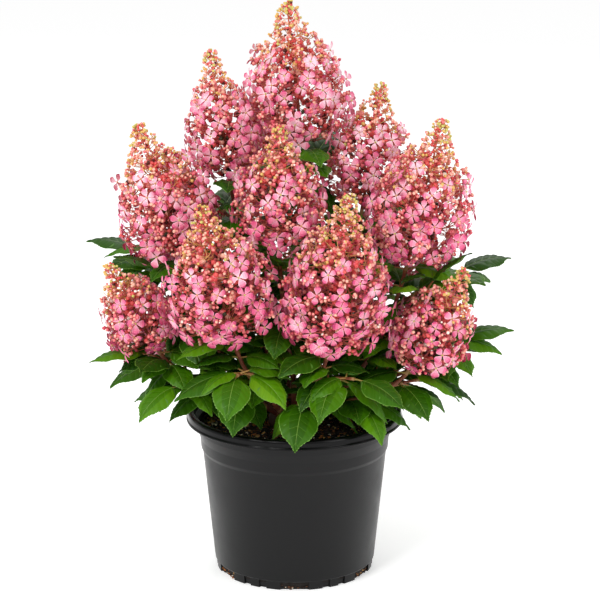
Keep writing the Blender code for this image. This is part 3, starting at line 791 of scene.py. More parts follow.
def tube(centres, radii, sides):
    """Points and triangles of a round tube along a line of centres, with closed ends."""
    centres = np.asarray(centres, float)
    along = np.gradient(centres, axis=0)
    along /= np.linalg.norm(along, axis=1, keepdims=True)
    guide = np.array((0.0, 0.0, 1.0) if abs(along[0][2]) < 0.9 else (1.0, 0.0, 0.0))
    across = np.empty_like(along)
    for i, direction in enumerate(along):
        guide = guide - direction * guide.dot(direction)
        guide = guide / np.linalg.norm(guide)
        across[i] = guide
    beside = np.cross(along, across)
    turns = math.tau * np.arange(sides) / sides
    ring = (
        np.cos(turns)[None, :, None] * across[:, None] + np.sin(turns)[None, :, None] * beside[:, None]
    )
    radii = np.asarray(radii, float).reshape(len(centres), -1, 1)
    points = (centres[:, None] + ring * radii).reshape(-1, 3)
    return np.concatenate([points, centres[:1], centres[-1:]]), tube_faces(len(centres), sides)


def tube_faces(rings, sides):
    low = (np.arange(rings - 1) * sides)[:, None] + np.arange(sides)
    after = (np.arange(rings - 1) * sides)[:, None] + (np.arange(sides) + 1) % sides
    skin = [
        np.stack([low, after, after + sides], axis=-1).reshape(-1, 3),
        np.stack([low, after + sides, low + sides], axis=-1).reshape(-1, 3),
    ]
    first, last = rings * sides, rings * sides + 1
    here, there = np.arange(sides), (np.arange(sides) + 1) % sides
    top = (rings - 1) * sides
    skin.append(np.stack([np.full(sides, first), there, here], axis=-1))
    skin.append(np.stack([np.full(sides, last), here + top, there + top], axis=-1))
    return np.concatenate(skin)


def stem_nodes(route):
    """Lengths along a route where leaves and twigs leave it."""
    first = bare_length(route) + SEAT + NODE_ABOVE_CANE
    last = route.length - NODE_BELOW_HEAD
    count = max(2, round((last - first) / NODE_SPACING) + 1)
    return [first + (last - first) * i / (count - 1) for i in range(count)]


def add_wood(pile, line, length, radius_at, nodes, shade_at):
    """Adds a round stem with rippled bark and swollen joints at its nodes."""
    count = max(3, round(length / WOOD_STEP) + 1)
    lengths = np.linspace(0.0, length, count)
    centres = np.array([line(distance) for distance in lengths])
    near = np.exp(-(((lengths[:, None] - np.array(nodes)) / JOINT_LENGTH) ** 2)).max(axis=1)
    radii = np.array([radius_at(distance) for distance in lengths]) * (1 + JOINT_SWELL * near)
    points, faces = tube(centres, radii, WOOD_SIDES)
    skin = points[:-2].reshape(count, WOOD_SIDES, 3)
    for i in range(count):
        for side in range(WOOD_SIDES):
            place = Vector(skin[i, side]) / BARK_RIPPLE_SIZE
            ripple = 1 + BARK_RIPPLE * noise.noise(place)
            skin[i, side] = centres[i] + (skin[i, side] - centres[i]) * ripple
    rings = np.minimum(faces.min(axis=1) // WOOD_SIDES, count - 1)
    shades = np.array([shade_at(distance, close) for distance, close in zip(lengths, near)])
    pile.add(points, faces, shades[rings])


def cane_shade(distance, near_joint):
    """Red-brown bark, browner at the foot and tan at the joints."""
    if near_joint > 0.45:
        return 4
    if near_joint > 0.15:
        return 3
    return 1 if distance < BARE_LEAST else 2


routes = {name: cane_route(name) for name in HEADS}
cane_pile = Pile()
for name, route in routes.items():
    end = bare_length(route)
    foot = Route([CROWN_CENTRE + crown_direction(name) * (CROWN_BALL - WOOD_SUNK), *route.points])
    add_wood(
        cane_pile,
        foot.at,
        end + WOOD_SUNK,
        lambda d, end=end: CANE_FOOT_RADIUS
        + (CANE_TOP_RADIUS - CANE_FOOT_RADIUS) * d / (end + WOOD_SUNK),
        [0.0, end * CANE_JOINT_AT],
        cane_shade,
    )
cane_wood = cane_pile.make("cane_bark", barks, "bark")
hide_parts(*(f"cane_{name}" for name in HEADS))


# The leafy shoots
# The green wood above each cane's bare foot, with opposite leaves, each pair a quarter turn from
# the last, and short side twigs low down. Everything grows by one seeded rule, and a leaf or twig
# with no room is left out.

LEAF_LENGTH = 0.088
LEAF_WIDTH = 0.045
LEAF_THICKNESS = 0.0016
LEAF_SIZE_RANGE = (0.90, 1.10)
LEAF_DROOP_RANGE = (0.85, 1.15)
LEAF_ROLL_MOST = 16
TOP_LEAF_SHARE = 0.90
LONE_LEAF_SHARE = 0.90
PAIR_POISE = (20, 60)
LONE_POISE = (12, 66)
LOW_TWIG_POISE = (6, 62)
HIGH_TWIG_POISE = (32, 50)
PAIR_TURN = 90
PAIR_TURN_MOST = 14
LEAF_OUTLINE = ((0.44, 0.50), (0.74, 0.36))
MARGIN_FALL = 0.22
LEAF_GAP = 0.0012
ROOT_SINK = 0.0004
ROOT_SHIFT = 0.0006
SPACE_MARGIN = 0.030
OFF_STEM = 0.25
NEAR_TIP = 0.90
OVER_MIX = 0.006
OVER_RIM = 0.006
BELOW_RIM = 0.030
RIM_MARGIN = 0.010
# A leaf that has no room tries these turns, falls and lengths in turn, then is skipped
LEAF_TRIES = (
    (0, 0, 1.0),
    (24, 8, 1.0),
    (-24, -10, 1.0),
    (45, -18, 0.96),
    (-45, 14, 0.96),
    (12, -32, 0.90),
    (-14, 28, 0.90),
    (62, 4, 0.86),
    (-62, -6, 0.86),
    (4, 18, 0.76),
    (34, -26, 0.70),
    (-34, 22, 0.70),
)
TWIG_LENGTH = 0.056
TWIG_LENGTH_RANGE = (0.85, 1.20)
TWIG_RADIUS = 0.0023
TWIG_TAPER = 0.25
TWIG_RISE_LOW = 26
TWIG_RISE_HIGH = 42
TWIG_DROOP = 22
TWIG_LOW_NODES = 2
TWIG_HIGH_NODE = 2
TWIG_SPREAD = 40
TWIG_TURN_MOST = 18
TWIG_TRIES = (0, 28, -28, 55, -55)
TWIG_PAIR_AT = 0.55
TWIG_END_AT = 0.94
TWIG_PAIR_TURN = 68
TWIG_END_TURN_MOST = 12
LONE_LEAF_TURN = 150
SIDE_BUD_AT = 0.55
SIDE_BUD_SHARE = 0.78
SIDE_BUD_POISE = (24, 58)
SIDE_BUDS_ON_TWIG = ((0.30, 85), (0.30, -85), (0.78, 75), (0.78, -75))
SIDE_BUDS_ABOVE = 0.262
HEAD_WIDEST = 0.28
HEAD_FOOT = 0.03
HEAD_TIP = 0.05
ENVELOPE_SIDES = 12
ENVELOPE_STATIONS = (0.02, 0.12, 0.28, 0.50, 0.72, 0.90)


def head_width(share):
    """A head's width at a share of its height: a rounded foot, then a cone that narrows."""
    if share > HEAD_WIDEST:
        rise = min((share - HEAD_WIDEST) / (1.0 - HEAD_WIDEST), 1.0)
        return HEAD_TIP + (1.0 - HEAD_TIP) * math.cos(math.pi / 2 * rise)
    fall = min((HEAD_WIDEST - share) / (HEAD_WIDEST + HEAD_FOOT), 1.0)
    return HEAD_TIP + (1.0 - HEAD_TIP) * math.sqrt(1.0 - fall**2)


def head_place(head):
    """Turns a point of an upright head at the origin into its place on the plant."""
    turn = UP.rotation_difference(head_axis(head))
    foot = head_foot(head)
    return lambda point: foot + turn @ point


def head_envelope(head):
    """The closed cone that holds the whole head."""
    profile = [(0.0, 0.0)]
    for share in ENVELOPE_STATIONS:
        profile.append((head.radius * head_width(share), head.length * share))
    profile.append((0.0, head.length))
    return turned_shape(profile, ENVELOPE_SIDES, head_place(head))


class Leaf(NamedTuple):
    """A leaf on its stalk, bending down evenly from its root to its tip."""

    root: Vector
    out: Vector
    rise: float
    droop: float
    length: float
    width: float
    roll: float


def leaf_point(leaf, share):
    """Point of the leaf's midrib at a share of its length."""
    start = math.radians(leaf.rise)
    droop = math.radians(leaf.droop)
    angle = start - droop * share
    scale = leaf.length / droop
    return (
        leaf.root
        + leaf.out * (scale * (math.sin(start) - math.sin(angle)))
        + UP * (scale * (math.cos(angle) - math.cos(start)))
    )


def leaf_axes(leaf, share):
    """The leaf's sideways direction and its upper face's direction at a share of its length."""
    angle = math.radians(leaf.rise - leaf.droop * share)
    along = leaf.out * math.cos(angle) + UP * math.sin(angle)
    level = leaf.out.cross(UP)
    face = level.cross(along)
    roll = math.radians(leaf.roll)
    side = level * math.cos(roll) + face * math.sin(roll)
    return side, face * math.cos(roll) - level * math.sin(roll)


# The source's plain leaf has six points round its outline, then one above and one below
PLAIN_LEAF_FACES = [(middle, i, (i + 1) % 6) for middle in (6, 7) for i in range(6)]


def plain_leaf(leaf, more=0.0, start=0.0):
    """Points and faces of a leaf's plain solid, thicker and wider by a margin on request."""
    left, right = [], []
    for share, width in LEAF_OUTLINE:
        side, face = leaf_axes(leaf, share)
        half = leaf.width * width
        rib = leaf_point(leaf, share) - face * (half * MARGIN_FALL)
        left.append(rib - side * (half + more))
        right.append(rib + side * (half + more))
    middle = (LEAF_OUTLINE[0][0] + LEAF_OUTLINE[1][0]) / 2
    _, face = leaf_axes(leaf, middle)
    rib = leaf_point(leaf, middle)
    half_thick = LEAF_THICKNESS / 2 + more
    tip = leaf_point(leaf, 1.0 + more / leaf.length)
    outline = [leaf_point(leaf, start), *left, tip, *reversed(right)]
    return outline + [rib + face * half_thick, rib - face * half_thick], PLAIN_LEAF_FACES


class Body(NamedTuple):
    """Something that already stands in the crown, which leaves have to stay clear of."""

    owner: str
    centre: Vector
    reach: float
    tree: BVHTree


def as_body(owner, shape):
    points, faces = shape
    centre = sum(points, Vector()) / len(points)
    reach = max((point - centre).length for point in points)
    return Body(owner, centre, reach, BVHTree.FromPolygons(points, faces))


def meets(shape, bodies):
    body = as_body("", shape)
    return any(
        (other.centre - body.centre).length < other.reach + body.reach
        and body.tree.overlap(other.tree)
        for other in bodies
    )


def clear_of_pot(points):
    """Whether the points stay over the mix and the rim, or well outside the pot."""
    for point in points:
        reach = math.hypot(point.x, point.y)
        if reach < RIM_INNER_RADIUS - RIM_MARGIN:
            floor = MIX_TOP + OVER_MIX
        elif reach < RIM_RADIUS + RIM_MARGIN:
            floor = POT_HEIGHT + OVER_RIM
        else:
            floor = POT_HEIGHT - BELOW_RIM
        if point.z < floor:
            return False
    return True


def in_own_space(point, name):
    """Whether a point is nearer its own shoot than any other, with a margin they share."""
    def distance(key):
        marks = routes[key].points[::PATH_MARK_EVERY]
        return min((point - mark).length for mark in marks)

    own = distance(name)
    return all(own < distance(key) + SPACE_MARGIN for key in routes if key != name)


class Shoot:
    """One leafy shoot while it grows: its stem, its twigs and its leaves."""

    def __init__(self, name, route):
        self.name = name
        self.route = route
        self.rng = random.Random(f"hydrangea {name}")
        start = bare_length(route) + SEAT
        self.nodes = stem_nodes(route)
        stations = []
        for distance in (start, *self.nodes, route.length):
            share = (distance - start) / (route.length - start)
            radius = CANE_TOP_RADIUS + (SHOOT_TOP_RADIUS - CANE_TOP_RADIUS) * share
            stations.append((route.at(distance), route.direction(distance), radius))
        self.stem = plain_tube(stations, STEM_SIDES, self.rng.random())
        self.twigs = []
        self.leaves = []


def try_leaf(shoot, root, bearing, poise, length):
    """Adds one leaf to the shoot at the first turn, fall and length that has room."""
    rng = shoot.rng
    rise, droop = poise
    roll = rng.uniform(-LEAF_ROLL_MOST, LEAF_ROLL_MOST)
    root = root + UP * rng.uniform(-ROOT_SHIFT, ROOT_SHIFT)
    size = length * rng.uniform(*LEAF_SIZE_RANGE)
    droop = droop * rng.uniform(*LEAF_DROOP_RANGE)
    own = [body for body in bodies if body.owner == shoot.name]
    others = [body for body in bodies if body.owner != shoot.name]
    for turn, fall, share in LEAF_TRIES:
        out = heading(bearing + turn)
        long = size * share
        wide = long * LEAF_WIDTH / LEAF_LENGTH
        leaf = Leaf(root - out * ROOT_SINK, out, rise - fall, droop, long, wide, roll)
        shape = plain_leaf(leaf, LEAF_GAP)
        if not clear_of_pot(shape[0]):
            continue
        if not in_own_space(leaf_point(leaf, NEAR_TIP), shoot.name):
            continue
        if meets(shape, others) or meets(plain_leaf(leaf, LEAF_GAP, OFF_STEM), own):
            continue
        shoot.leaves.append(leaf)
        bodies.append(as_body(shoot.name, plain_leaf(leaf)))
        return


def grow_twig(shoot, root, bearing, high):
    """A side twig with a pair of leaves part way and one leaf at its end."""
    rng = shoot.rng
    length = TWIG_LENGTH * rng.uniform(*TWIG_LENGTH_RANGE)
    rise = TWIG_RISE_HIGH if high else TWIG_RISE_LOW
    poise = HIGH_TWIG_POISE if high else LOW_TWIG_POISE
    for turn in TWIG_TRIES:
        out = heading(bearing + turn)
        line = Leaf(root - out * ROOT_SINK, out, rise, TWIG_DROOP, length, 0.0, 0.0)
        stations = []
        for share in (0.0, TWIG_PAIR_AT, TWIG_END_AT, 1.0):
            angle = math.radians(line.rise - line.droop * share)
            direction = out * math.cos(angle) + UP * math.sin(angle)
            radius = TWIG_RADIUS * (1.0 - TWIG_TAPER * share)
            stations.append((leaf_point(line, share), direction, radius))
        twig = plain_tube(stations, STEM_SIDES, rng.random())
        if not clear_of_pot(twig[0]):
            continue
        if not in_own_space(stations[-1][0], shoot.name):
            continue
        if meets(twig, [body for body in bodies if body.owner != shoot.name]):
            continue
        shoot.twigs.append(line)
        bodies.append(as_body(shoot.name, twig))
        bearing += turn
        end_turn = bearing + rng.uniform(-TWIG_END_TURN_MOST, TWIG_END_TURN_MOST)
        try_leaf(shoot, leaf_point(line, TWIG_END_AT), end_turn, poise, LEAF_LENGTH)
        for side in (-TWIG_PAIR_TURN, TWIG_PAIR_TURN):
            try_leaf(shoot, leaf_point(line, TWIG_PAIR_AT), bearing + side, poise, LEAF_LENGTH)
        return


def grow_shoot(shoot):
    """Pairs of leaves, each pair a quarter turn from the last, and side twigs low down."""
    rng = shoot.rng
    route = shoot.route
    turn = rng.uniform(0, 180)
    outward = math.degrees(math.atan2(*reversed(route.at(route.length).xy)))
    for node, distance in reversed(list(enumerate(shoot.nodes))):
        root = route.at(distance)
        bearing = turn + PAIR_TURN * node + rng.uniform(-PAIR_TURN_MOST, PAIR_TURN_MOST)
        low = node < TWIG_LOW_NODES
        if low or node == len(shoot.nodes) - TWIG_HIGH_NODE:
            side = outward + rng.uniform(-TWIG_TURN_MOST, TWIG_TURN_MOST)
            if low:
                side += TWIG_SPREAD if node % 2 else -TWIG_SPREAD
            grow_twig(shoot, root, side, not low)
            length = LEAF_LENGTH * LONE_LEAF_SHARE
            try_leaf(shoot, root, side + LONE_LEAF_TURN, LONE_POISE, length)
            continue
        share = node / (len(shoot.nodes) - 1)
        length = LEAF_LENGTH * (1.0 - (1.0 - TOP_LEAF_SHARE) * share)
        for side in (0, 180):
            try_leaf(shoot, root, bearing + side, PAIR_POISE, length)


def grow_side_buds(shoot):
    """The smaller leaves of the side buds, which fill the crown between the pairs."""
    shoot.rng = random.Random(f"side buds {shoot.name}")
    for below, above in zip(shoot.nodes, shoot.nodes[1:]):
        root = shoot.route.at(below + (above - below) * SIDE_BUD_AT)
        if root.z < SIDE_BUDS_ABOVE:
            continue
        bearing = shoot.rng.uniform(0, 360)
        for side in (0, 120, 240):
            try_leaf(shoot, root, bearing + side, SIDE_BUD_POISE, LEAF_LENGTH * SIDE_BUD_SHARE)
    for twig in list(shoot.twigs):
        bearing = math.degrees(math.atan2(twig.out.y, twig.out.x))
        for share, turn in SIDE_BUDS_ON_TWIG:
            root = leaf_point(twig, share)
            if root.z < SIDE_BUDS_ABOVE:
                continue
            try_leaf(shoot, root, bearing + turn, LOW_TWIG_POISE, LEAF_LENGTH * SIDE_BUD_SHARE)


bodies = [as_body(f"head {name}", head_envelope(HEADS[name])) for name in FLOWERING]
shoots = {}
for name, route in routes.items():
    bodies.append(as_body(f"cane {name}", plain_cane(name, route)))
    shoots[name] = Shoot(name, route)
    bodies.append(as_body(name, shoots[name].stem))
for grow in (grow_shoot, grow_side_buds):
    for name in sorted(shoots, key=lambda key: HEADS[key].height):
        grow(shoots[name])

stem_pile = Pile()
for name, shoot in shoots.items():
    start = bare_length(shoot.route)
    long = shoot.route.length - start
    add_wood(
        stem_pile,
        lambda d, shoot=shoot, start=start: shoot.route.at(start + d),
        long,
        lambda d, long=long: CANE_TOP_RADIUS + (SHOOT_TOP_RADIUS - CANE_TOP_RADIUS) * d / long,
        [distance - start for distance in shoot.nodes],
        cane_shade,
    )
    for twig in shoot.twigs:
        add_wood(
            stem_pile,
            lambda d, twig=twig: leaf_point(twig, d / twig.length),
            twig.length,
            lambda d, twig=twig: TWIG_RADIUS * (1.0 - TWIG_TAPER * d / twig.length),
            [twig.length * TWIG_PAIR_AT, twig.length * TWIG_END_AT],
            cane_shade,
        )
stem_pile.make("shoot_stems", barks, "bark")


# The leaves
# Thin toothed blades on short stalks, folded along the midrib and arched to a drooping point.
# The skin is mid-green with a soft sheen, quilted between sunken paler veins, pale underneath.

STALK_SHARE = 0.17
VEIN_COUNT = 6
ROWS_BETWEEN_VEINS = 2
VEIN_FIRST = 0.05
VEIN_LAST = 0.84
VEIN_HALF = 0.0026
VEIN_SLANT = 0.29
OUTLINE_RISE = 0.62
OUTLINE_FALL = 0.98
POINT_START = 0.74
POINT_PINCH = 0.42
RIB_COLUMN = 0.015
RIM_COLUMN = 0.985
LEAF_COLUMNS = (0.0, RIB_COLUMN, 0.50, RIM_COLUMN, 1.0)
TOOTH_OUT = 0.0009
TOOTH_FORWARD = 0.0006
QUILT = 0.0006
VEIN_DEPTH = 0.0003
FOLD_LIFT = 0.13
WAVE_HEIGHT = 0.0011
WAVES = 2.2
UNDER_ROWS = 12
UNDER_COLUMNS = (0.0, 0.5, 0.96)
UNDER_GAP = 0.0005
STALK_RADIUS = 0.0012
STALK_SIDES = 5
STALK_STATIONS = 10
RIB_END = 0.86
LEAF_TINTS = ("#204500", "#295300", "#336100", "#3F7000", "#4E8002", "#61900C")
LEAF_SHARES = (0.08, 0.17, 0.27, 0.26, 0.15, 0.07)
LEAF_VEIN, LEAF_RIM, LEAF_UNDER, LEAF_RIB, LEAF_STALK = 6, 7, 8, 9, 10
leaf_materials = tints("hydrangea leaf", LEAF_TINTS, 0.46, {"Specular IOR Level": 0.18})
leaf_materials += tints("leaf vein", ("#53841A",), 0.5)
leaf_materials += tints("leaf rim", ("#66952E",), 0.5)
leaf_materials += tints("leaf underside", ("#4A7A22",), 0.6)
leaf_materials += tints("leaf rib", ("#74993A",), 0.5)
leaf_materials += tints("leaf stalk", ("#A2683A", "#8F8038", "#9A7438"), 0.5)


def blade_width(share):
    """Half width of a blade at shares of its length, where its widest place is 1."""
    peak = OUTLINE_RISE / (OUTLINE_RISE + OUTLINE_FALL)
    most = peak**OUTLINE_RISE * (1 - peak) ** OUTLINE_FALL
    share = np.clip(share, 0.0, 1.0)
    pinch = np.clip((share - POINT_START) / (1 - POINT_START), 0.0, 1.0)
    oval = share**OUTLINE_RISE * (1 - share) ** OUTLINE_FALL / most
    return oval * (1 - POINT_PINCH * pinch * (2 - pinch))


def leaf_rows():
    """Where each slanting row leaves the midrib, and whether it edges a vein."""
    veins = np.linspace(VEIN_FIRST, VEIN_LAST, VEIN_COUNT)
    rows = [(0.0, 0.0)]
    edges = [0.0, *veins, 1.0]
    for before, after in zip(edges, edges[1:]):
        low = before + (VEIN_HALF if before > 0 else 0.0)
        high = after - (VEIN_HALF if after < 1 else 0.0)
        for step in range(1, ROWS_BETWEEN_VEINS + 1):
            share = step / (ROWS_BETWEEN_VEINS + 1)
            rows.append((low + (high - low) * share, math.sin(math.pi * share)))
        if after < 1:
            rows += [(high, -1.0), (after + VEIN_HALF, -1.0)]
    rows.append((1.0, 0.0))
    return np.array(rows)


ROWS = leaf_rows()


def grid_faces(rows, columns):
    """Triangles of a grid of points, row by row."""
    corner = (np.arange(rows - 1) * columns)[:, None] + np.arange(columns - 1)
    corner = corner.ravel()
    first = np.stack([corner, corner + 1, corner + columns + 1], axis=1)
    second = np.stack([corner, corner + columns + 1, corner + columns], axis=1)
    return np.stack([first, second], axis=1).reshape(-1, 3)


def on_leaf(leaf, share, beside, lift):
    """Places points on a leaf's bent midrib, by share of its length, sideways and upwards."""
    droop = math.radians(leaf.droop)
    start = math.radians(leaf.rise)
    angle = (start - droop * share)[..., None]
    scale = leaf.length / droop
    out, up = np.array(leaf.out), np.array(UP)
    level = np.array(leaf.out.cross(UP))
    middle = (
        np.array(leaf.root)
        + out * scale * (math.sin(start) - np.sin(angle))
        + up * scale * (np.cos(angle) - math.cos(start))
    )
    face = up * np.cos(angle) - out * np.sin(angle)
    roll = math.radians(leaf.roll)
    side = level * math.cos(roll) + face * math.sin(roll)
    top = face * math.cos(roll) - level * math.sin(roll)
    return middle + side * beside[..., None] + top * lift[..., None]


def blade_lift(across, along, half, phase):
    """The blade's section: two halves that arch from the folded midrib, with a wavy margin."""
    fold = half * (FOLD_LIFT * np.sin(math.pi * across) - MARGIN_FALL * across**2)
    return fold + WAVE_HEIGHT * across**2 * np.sin(math.tau * WAVES * along + phase)


def add_leaf(pile, leaf, rng):
    """Adds a leaf's blade, its paler underside, and its stalk, which runs on as the rib."""
    half_width = leaf.width / 2
    shade = rng.choice(len(LEAF_TINTS), p=LEAF_SHARES)
    for hand in (-1, 1):
        phase = rng.uniform(0, math.tau)
        start = ROWS[:, :1]
        across = np.array(LEAF_COLUMNS)[None, :]
        slant = VEIN_SLANT * (1 - start) ** 0.7 * (0.45 + 0.55 * np.clip(start / 0.2, 0, 1))
        along = start + slant * across * (1.25 - 0.25 * across)
        along = along / along[-1:].max(axis=0)
        wide = blade_width(along) * half_width
        tooth = (np.arange(len(ROWS)) % 2)[:, None] * (across == 1.0)
        beside = wide * across + tooth * TOOTH_OUT
        quilt = np.where(ROWS[:, 1:] > 0, QUILT * ROWS[:, 1:], VEIN_DEPTH * ROWS[:, 1:])
        lift = blade_lift(across, along, wide, phase)
        lift = lift + quilt * np.sin(math.pi * np.clip(across, 0, 0.97)) ** 0.6
        forward = along + tooth * TOOTH_FORWARD / leaf.length
        share = STALK_SHARE + (1 - STALK_SHARE) * np.clip(forward, 0, 1)
        faces = grid_faces(len(ROWS), len(LEAF_COLUMNS))
        shades = np.full((len(ROWS) - 1, len(LEAF_COLUMNS) - 1), shade)
        # The inner half of each side is one tint darker than the outer half: painted shade towards the
        # midrib, where less light falls
        shades[:, 1] = max(shade - 1, 0)
        shades[(ROWS[:-1, 1] < 0) & (ROWS[1:, 1] < 0), :-2] = LEAF_VEIN
        shades[:, 0] = LEAF_RIB
        shades[:, -1] = LEAF_RIM
        points = on_leaf(leaf, share, beside * hand, lift)
        pile.add(points, faces if hand > 0 else faces[:, ::-1], np.repeat(shades.ravel(), 2))

        along = np.linspace(0.01, 0.99, UNDER_ROWS)[:, None] * np.ones((1, len(UNDER_COLUMNS)))
        across = np.array(UNDER_COLUMNS)[None, :] * np.ones((UNDER_ROWS, 1))
        wide = blade_width(along) * half_width
        lift = blade_lift(across, along, wide, phase) - UNDER_GAP
        share = STALK_SHARE + (1 - STALK_SHARE) * along
        faces = grid_faces(UNDER_ROWS, len(UNDER_COLUMNS))
        points = on_leaf(leaf, share, wide * across * hand, lift)
        pile.add(points, faces[:, ::-1] if hand > 0 else faces, LEAF_UNDER)
    shares = np.linspace(0.0, RIB_END, STALK_STATIONS)
    under = np.where(shares > STALK_SHARE, -UNDER_GAP, 0.0)
    centres = on_leaf(leaf, shares, np.zeros(STALK_STATIONS), under)
    radii = STALK_RADIUS * np.interp(shares, (0.0, 0.04, STALK_SHARE, RIB_END), (1.4, 1.0, 0.8, 0.2))
    points, faces = tube(centres, radii, STALK_SIDES)
    rings = np.minimum(faces.min(axis=1) // STALK_SIDES, STALK_STATIONS - 1)
    stalk = LEAF_STALK + rng.integers(3)
    pile.add(points, faces, np.where(shares[rings] < STALK_SHARE - 0.02, stalk, LEAF_RIB))


for group in ("front", "back"):
    names = [name for name in HEADS if (name in FRONT) == (group == "front")]
    pile = Pile()
    for name in names:
        rng = np.random.default_rng([ord(letter) for letter in name])
        for leaf in shoots[name].leaves:
            add_leaf(pile, leaf, rng)
    leaves = pile.make(f"leaves_{group}", leaf_materials, "leaf")
    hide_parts(*(f"leaves_{name}" for name in names))


# The flower heads
# Each is a cone-shaped panicle: a red-brown rachis with side branches all the way up. Clusters of
# small closed buds fill it, sterile florets with four to six flat petals stand out on the outside,
# and the tip is still a spire of green-gold buds.

GOLDEN_TURN = math.radians(137.508)
RACHIS_SIDES = 6
RACHIS_STATIONS = 14
RACHIS_TOP_RADIUS = 0.0008
RACHIS_TAN_FROM = 0.55
HEAD_TOP = 0.985
TURN_JITTER = 0.3
BRANCH_RADIUS = 0.0007
BUD_STALK_RADIUS = 0.0004
LIMBS = 20
LIMB_REACH = 0.66
LIMB_POINTS = 6
LIMB_RADIUS = 0.0010
LIMBS_FROM = 0.01
LIMBS_OVER = 0.80
LIMB_SAG = 0.12
LIMB_RISE = 0.30
LIMB_UPTURN = 0.22
LIMB_TAPER = 0.45
TWIG_SAG = 0.10
# A branch that lies above a point costs this much more, so twigs rise from lower ones
DOWNWARD_COST = 2.0
LEAST_RISE = 0.003
CLUSTERS_PER_AREA = 27000
# Each layer's inner and outer depth as a share of the head's width, and its share of clusters
CLUSTER_LAYERS = ((0.68, 0.95, 0.66), (0.10, 0.66, 0.34))
BUDS_IN_CLUSTER = (4, 7)
CLUSTER_SPREAD = 0.0076
DEEP_GROWTH = 1.5
BUD_RADII = (0.0020, 0.0028)
SPIRE_FROM = 0.72
SPIRE_SPREAD = 0.0056
SPIRE_WAIST = 0.72
SPIRE_BUD_RADII = (0.0018, 0.0024)
SPIRE_THINNING = 0.30
BUD_SIDES = 5
# The tint and size of the few small cream buds, how often a bud's crown is peach or cream, and how
# often that crown is cream. The cream specks and paler crowns are partly the buds' own paler tips,
# partly painted highlight
CREAM = 5
CREAM_SIZE = 0.6
HIGHLIGHT_CROWNS = 0.12
CREAM_HIGHLIGHT_CROWNS = 0.4
FLORETS_PER_AREA = 6900
FLORET_RADII = (0.0122, 0.0162)
FLORETS_TOP = 0.68
FLORET_STAND = (0.80, 1.09)
FLORETS_SHRINK = 0.34
# A floret's tilt in degrees: at the foot, its gain up the head, and its scatter
FLORET_TILT = (-28, 76, 22)
FLORET_YAW = 0.5
PETAL_NUMBERS = (4, 5, 6)
PETAL_NUMBER_SHARES = (0.62, 0.30, 0.08)
FLORET_TONES = (-0.3, 0.7, 1.6)
FLORET_TONE_SHARES = (0.28, 0.40, 0.32)
FOOT_DEEPER = 1.0
TIP_PALER = 3.0
# Each row across a petal: how far along it is, and its half width
PETAL_ROWS = ((0.05, 0.04), (0.22, 0.10), (0.42, 0.22), (0.64, 0.325), (0.85, 0.29), (1.0, 0.10))
PETAL_COLUMNS = (-1.0, -0.80, 0.0, 0.80, 1.0)
PETAL_DEEPENING = (0.6, 1.0, 1.9, 3.1, 5.4)
PETAL_TINTS = (
    "#F7CAD6", "#F3AEC0", "#EF95AE", "#EA7C9C", "#E2628B", "#D54878", "#BC2E66", "#961C4E",
)
# The higher heads are younger, and so paler: steps of tint for each metre above the middle ones
YOUNG_PALENESS = 5.0
HEADS_MIDDLE = 0.40
# The last two bud tints, dark red-brown and dark olive, are painted shade for the inner buds
BUD_TINTS = (
    "#C23C50", "#DC5967", "#EC767C", "#F4958A", "#F9BCA4", "#FFF0E2", "#E2B566", "#CFC469",
    "#EA5A58", "#5A2418", "#2E3312",
)
WOOD_TINTS = ("#8A4528", "#CC6A58", "#DCA062")
EYE_TINTS = ("#BDB85A", "#C99A5A")

petal_materials = tints("hydrangea petal", PETAL_TINTS, 0.55, {"Sheen Weight": 0.1})
petal_materials += tints("floret eye", EYE_TINTS, 0.6)
bud_materials = tints("hydrangea bud", BUD_TINTS, 0.42)
branch_materials = tints("panicle branch", WOOD_TINTS, 0.6)


def petal_shape():
    """One petal that points along +X, with its length as 1, and how deep each face's pink is."""
    points = []
    for along, half in PETAL_ROWS:
        for across in PETAL_COLUMNS:
            x = along - 0.09 * across**2 * along
            y = half * across
            z = 0.15 * math.sin(math.pi * 0.9 * x) - 0.55 * y * y - 0.04 * (x > 0.85)
            points.append((x, y, z))
    bands, columns = len(PETAL_ROWS) - 1, len(PETAL_COLUMNS) - 1
    depths = np.repeat(np.array(PETAL_DEEPENING)[:, None], columns, axis=1)
    depths[1:, (0, -1)] -= 1.7
    return (
        np.array(points),
        grid_faces(len(PETAL_ROWS), len(PETAL_COLUMNS))[:, ::-1],
        np.repeat(depths.ravel(), 2),
    )


def bud_shape(levels):
    """A round bud with a short point, of radius 1, along +Z. Its last faces are the crown."""
    points = [(0.0, 0.0, -1.0)]
    for height, radius, shift in levels:
        for side in range(BUD_SIDES):
            turn = math.tau * (side + shift) / BUD_SIDES
            points.append((radius * math.cos(turn), radius * math.sin(turn), height))
    points.append((0.0, 0.0, 1.05))
    faces = []
    for side in range(BUD_SIDES):
        a, b = 1 + side, 1 + (side + 1) % BUD_SIDES
        faces.append((0, b, a))
        if len(levels) > 1:
            faces += [(a, b, a + BUD_SIDES), (b, b + BUD_SIDES, a + BUD_SIDES)]
    crown = 1 + BUD_SIDES * (len(levels) - 1)
    for side in range(BUD_SIDES):
        faces.append((len(points) - 1, crown + side, crown + (side + 1) % BUD_SIDES))
    return np.array(points), np.array(faces)


PETAL, PETAL_FACES, PETAL_DEPTHS = petal_shape()
BUD, BUD_FACES = bud_shape(((-0.42, 0.88, 0.0), (0.40, 0.88, 0.5)))
INNER_BUD, INNER_BUD_FACES = bud_shape(((0.0, 1.0, 0.0),))
STICK_FACES = tube_faces(2, 3)[:-6]


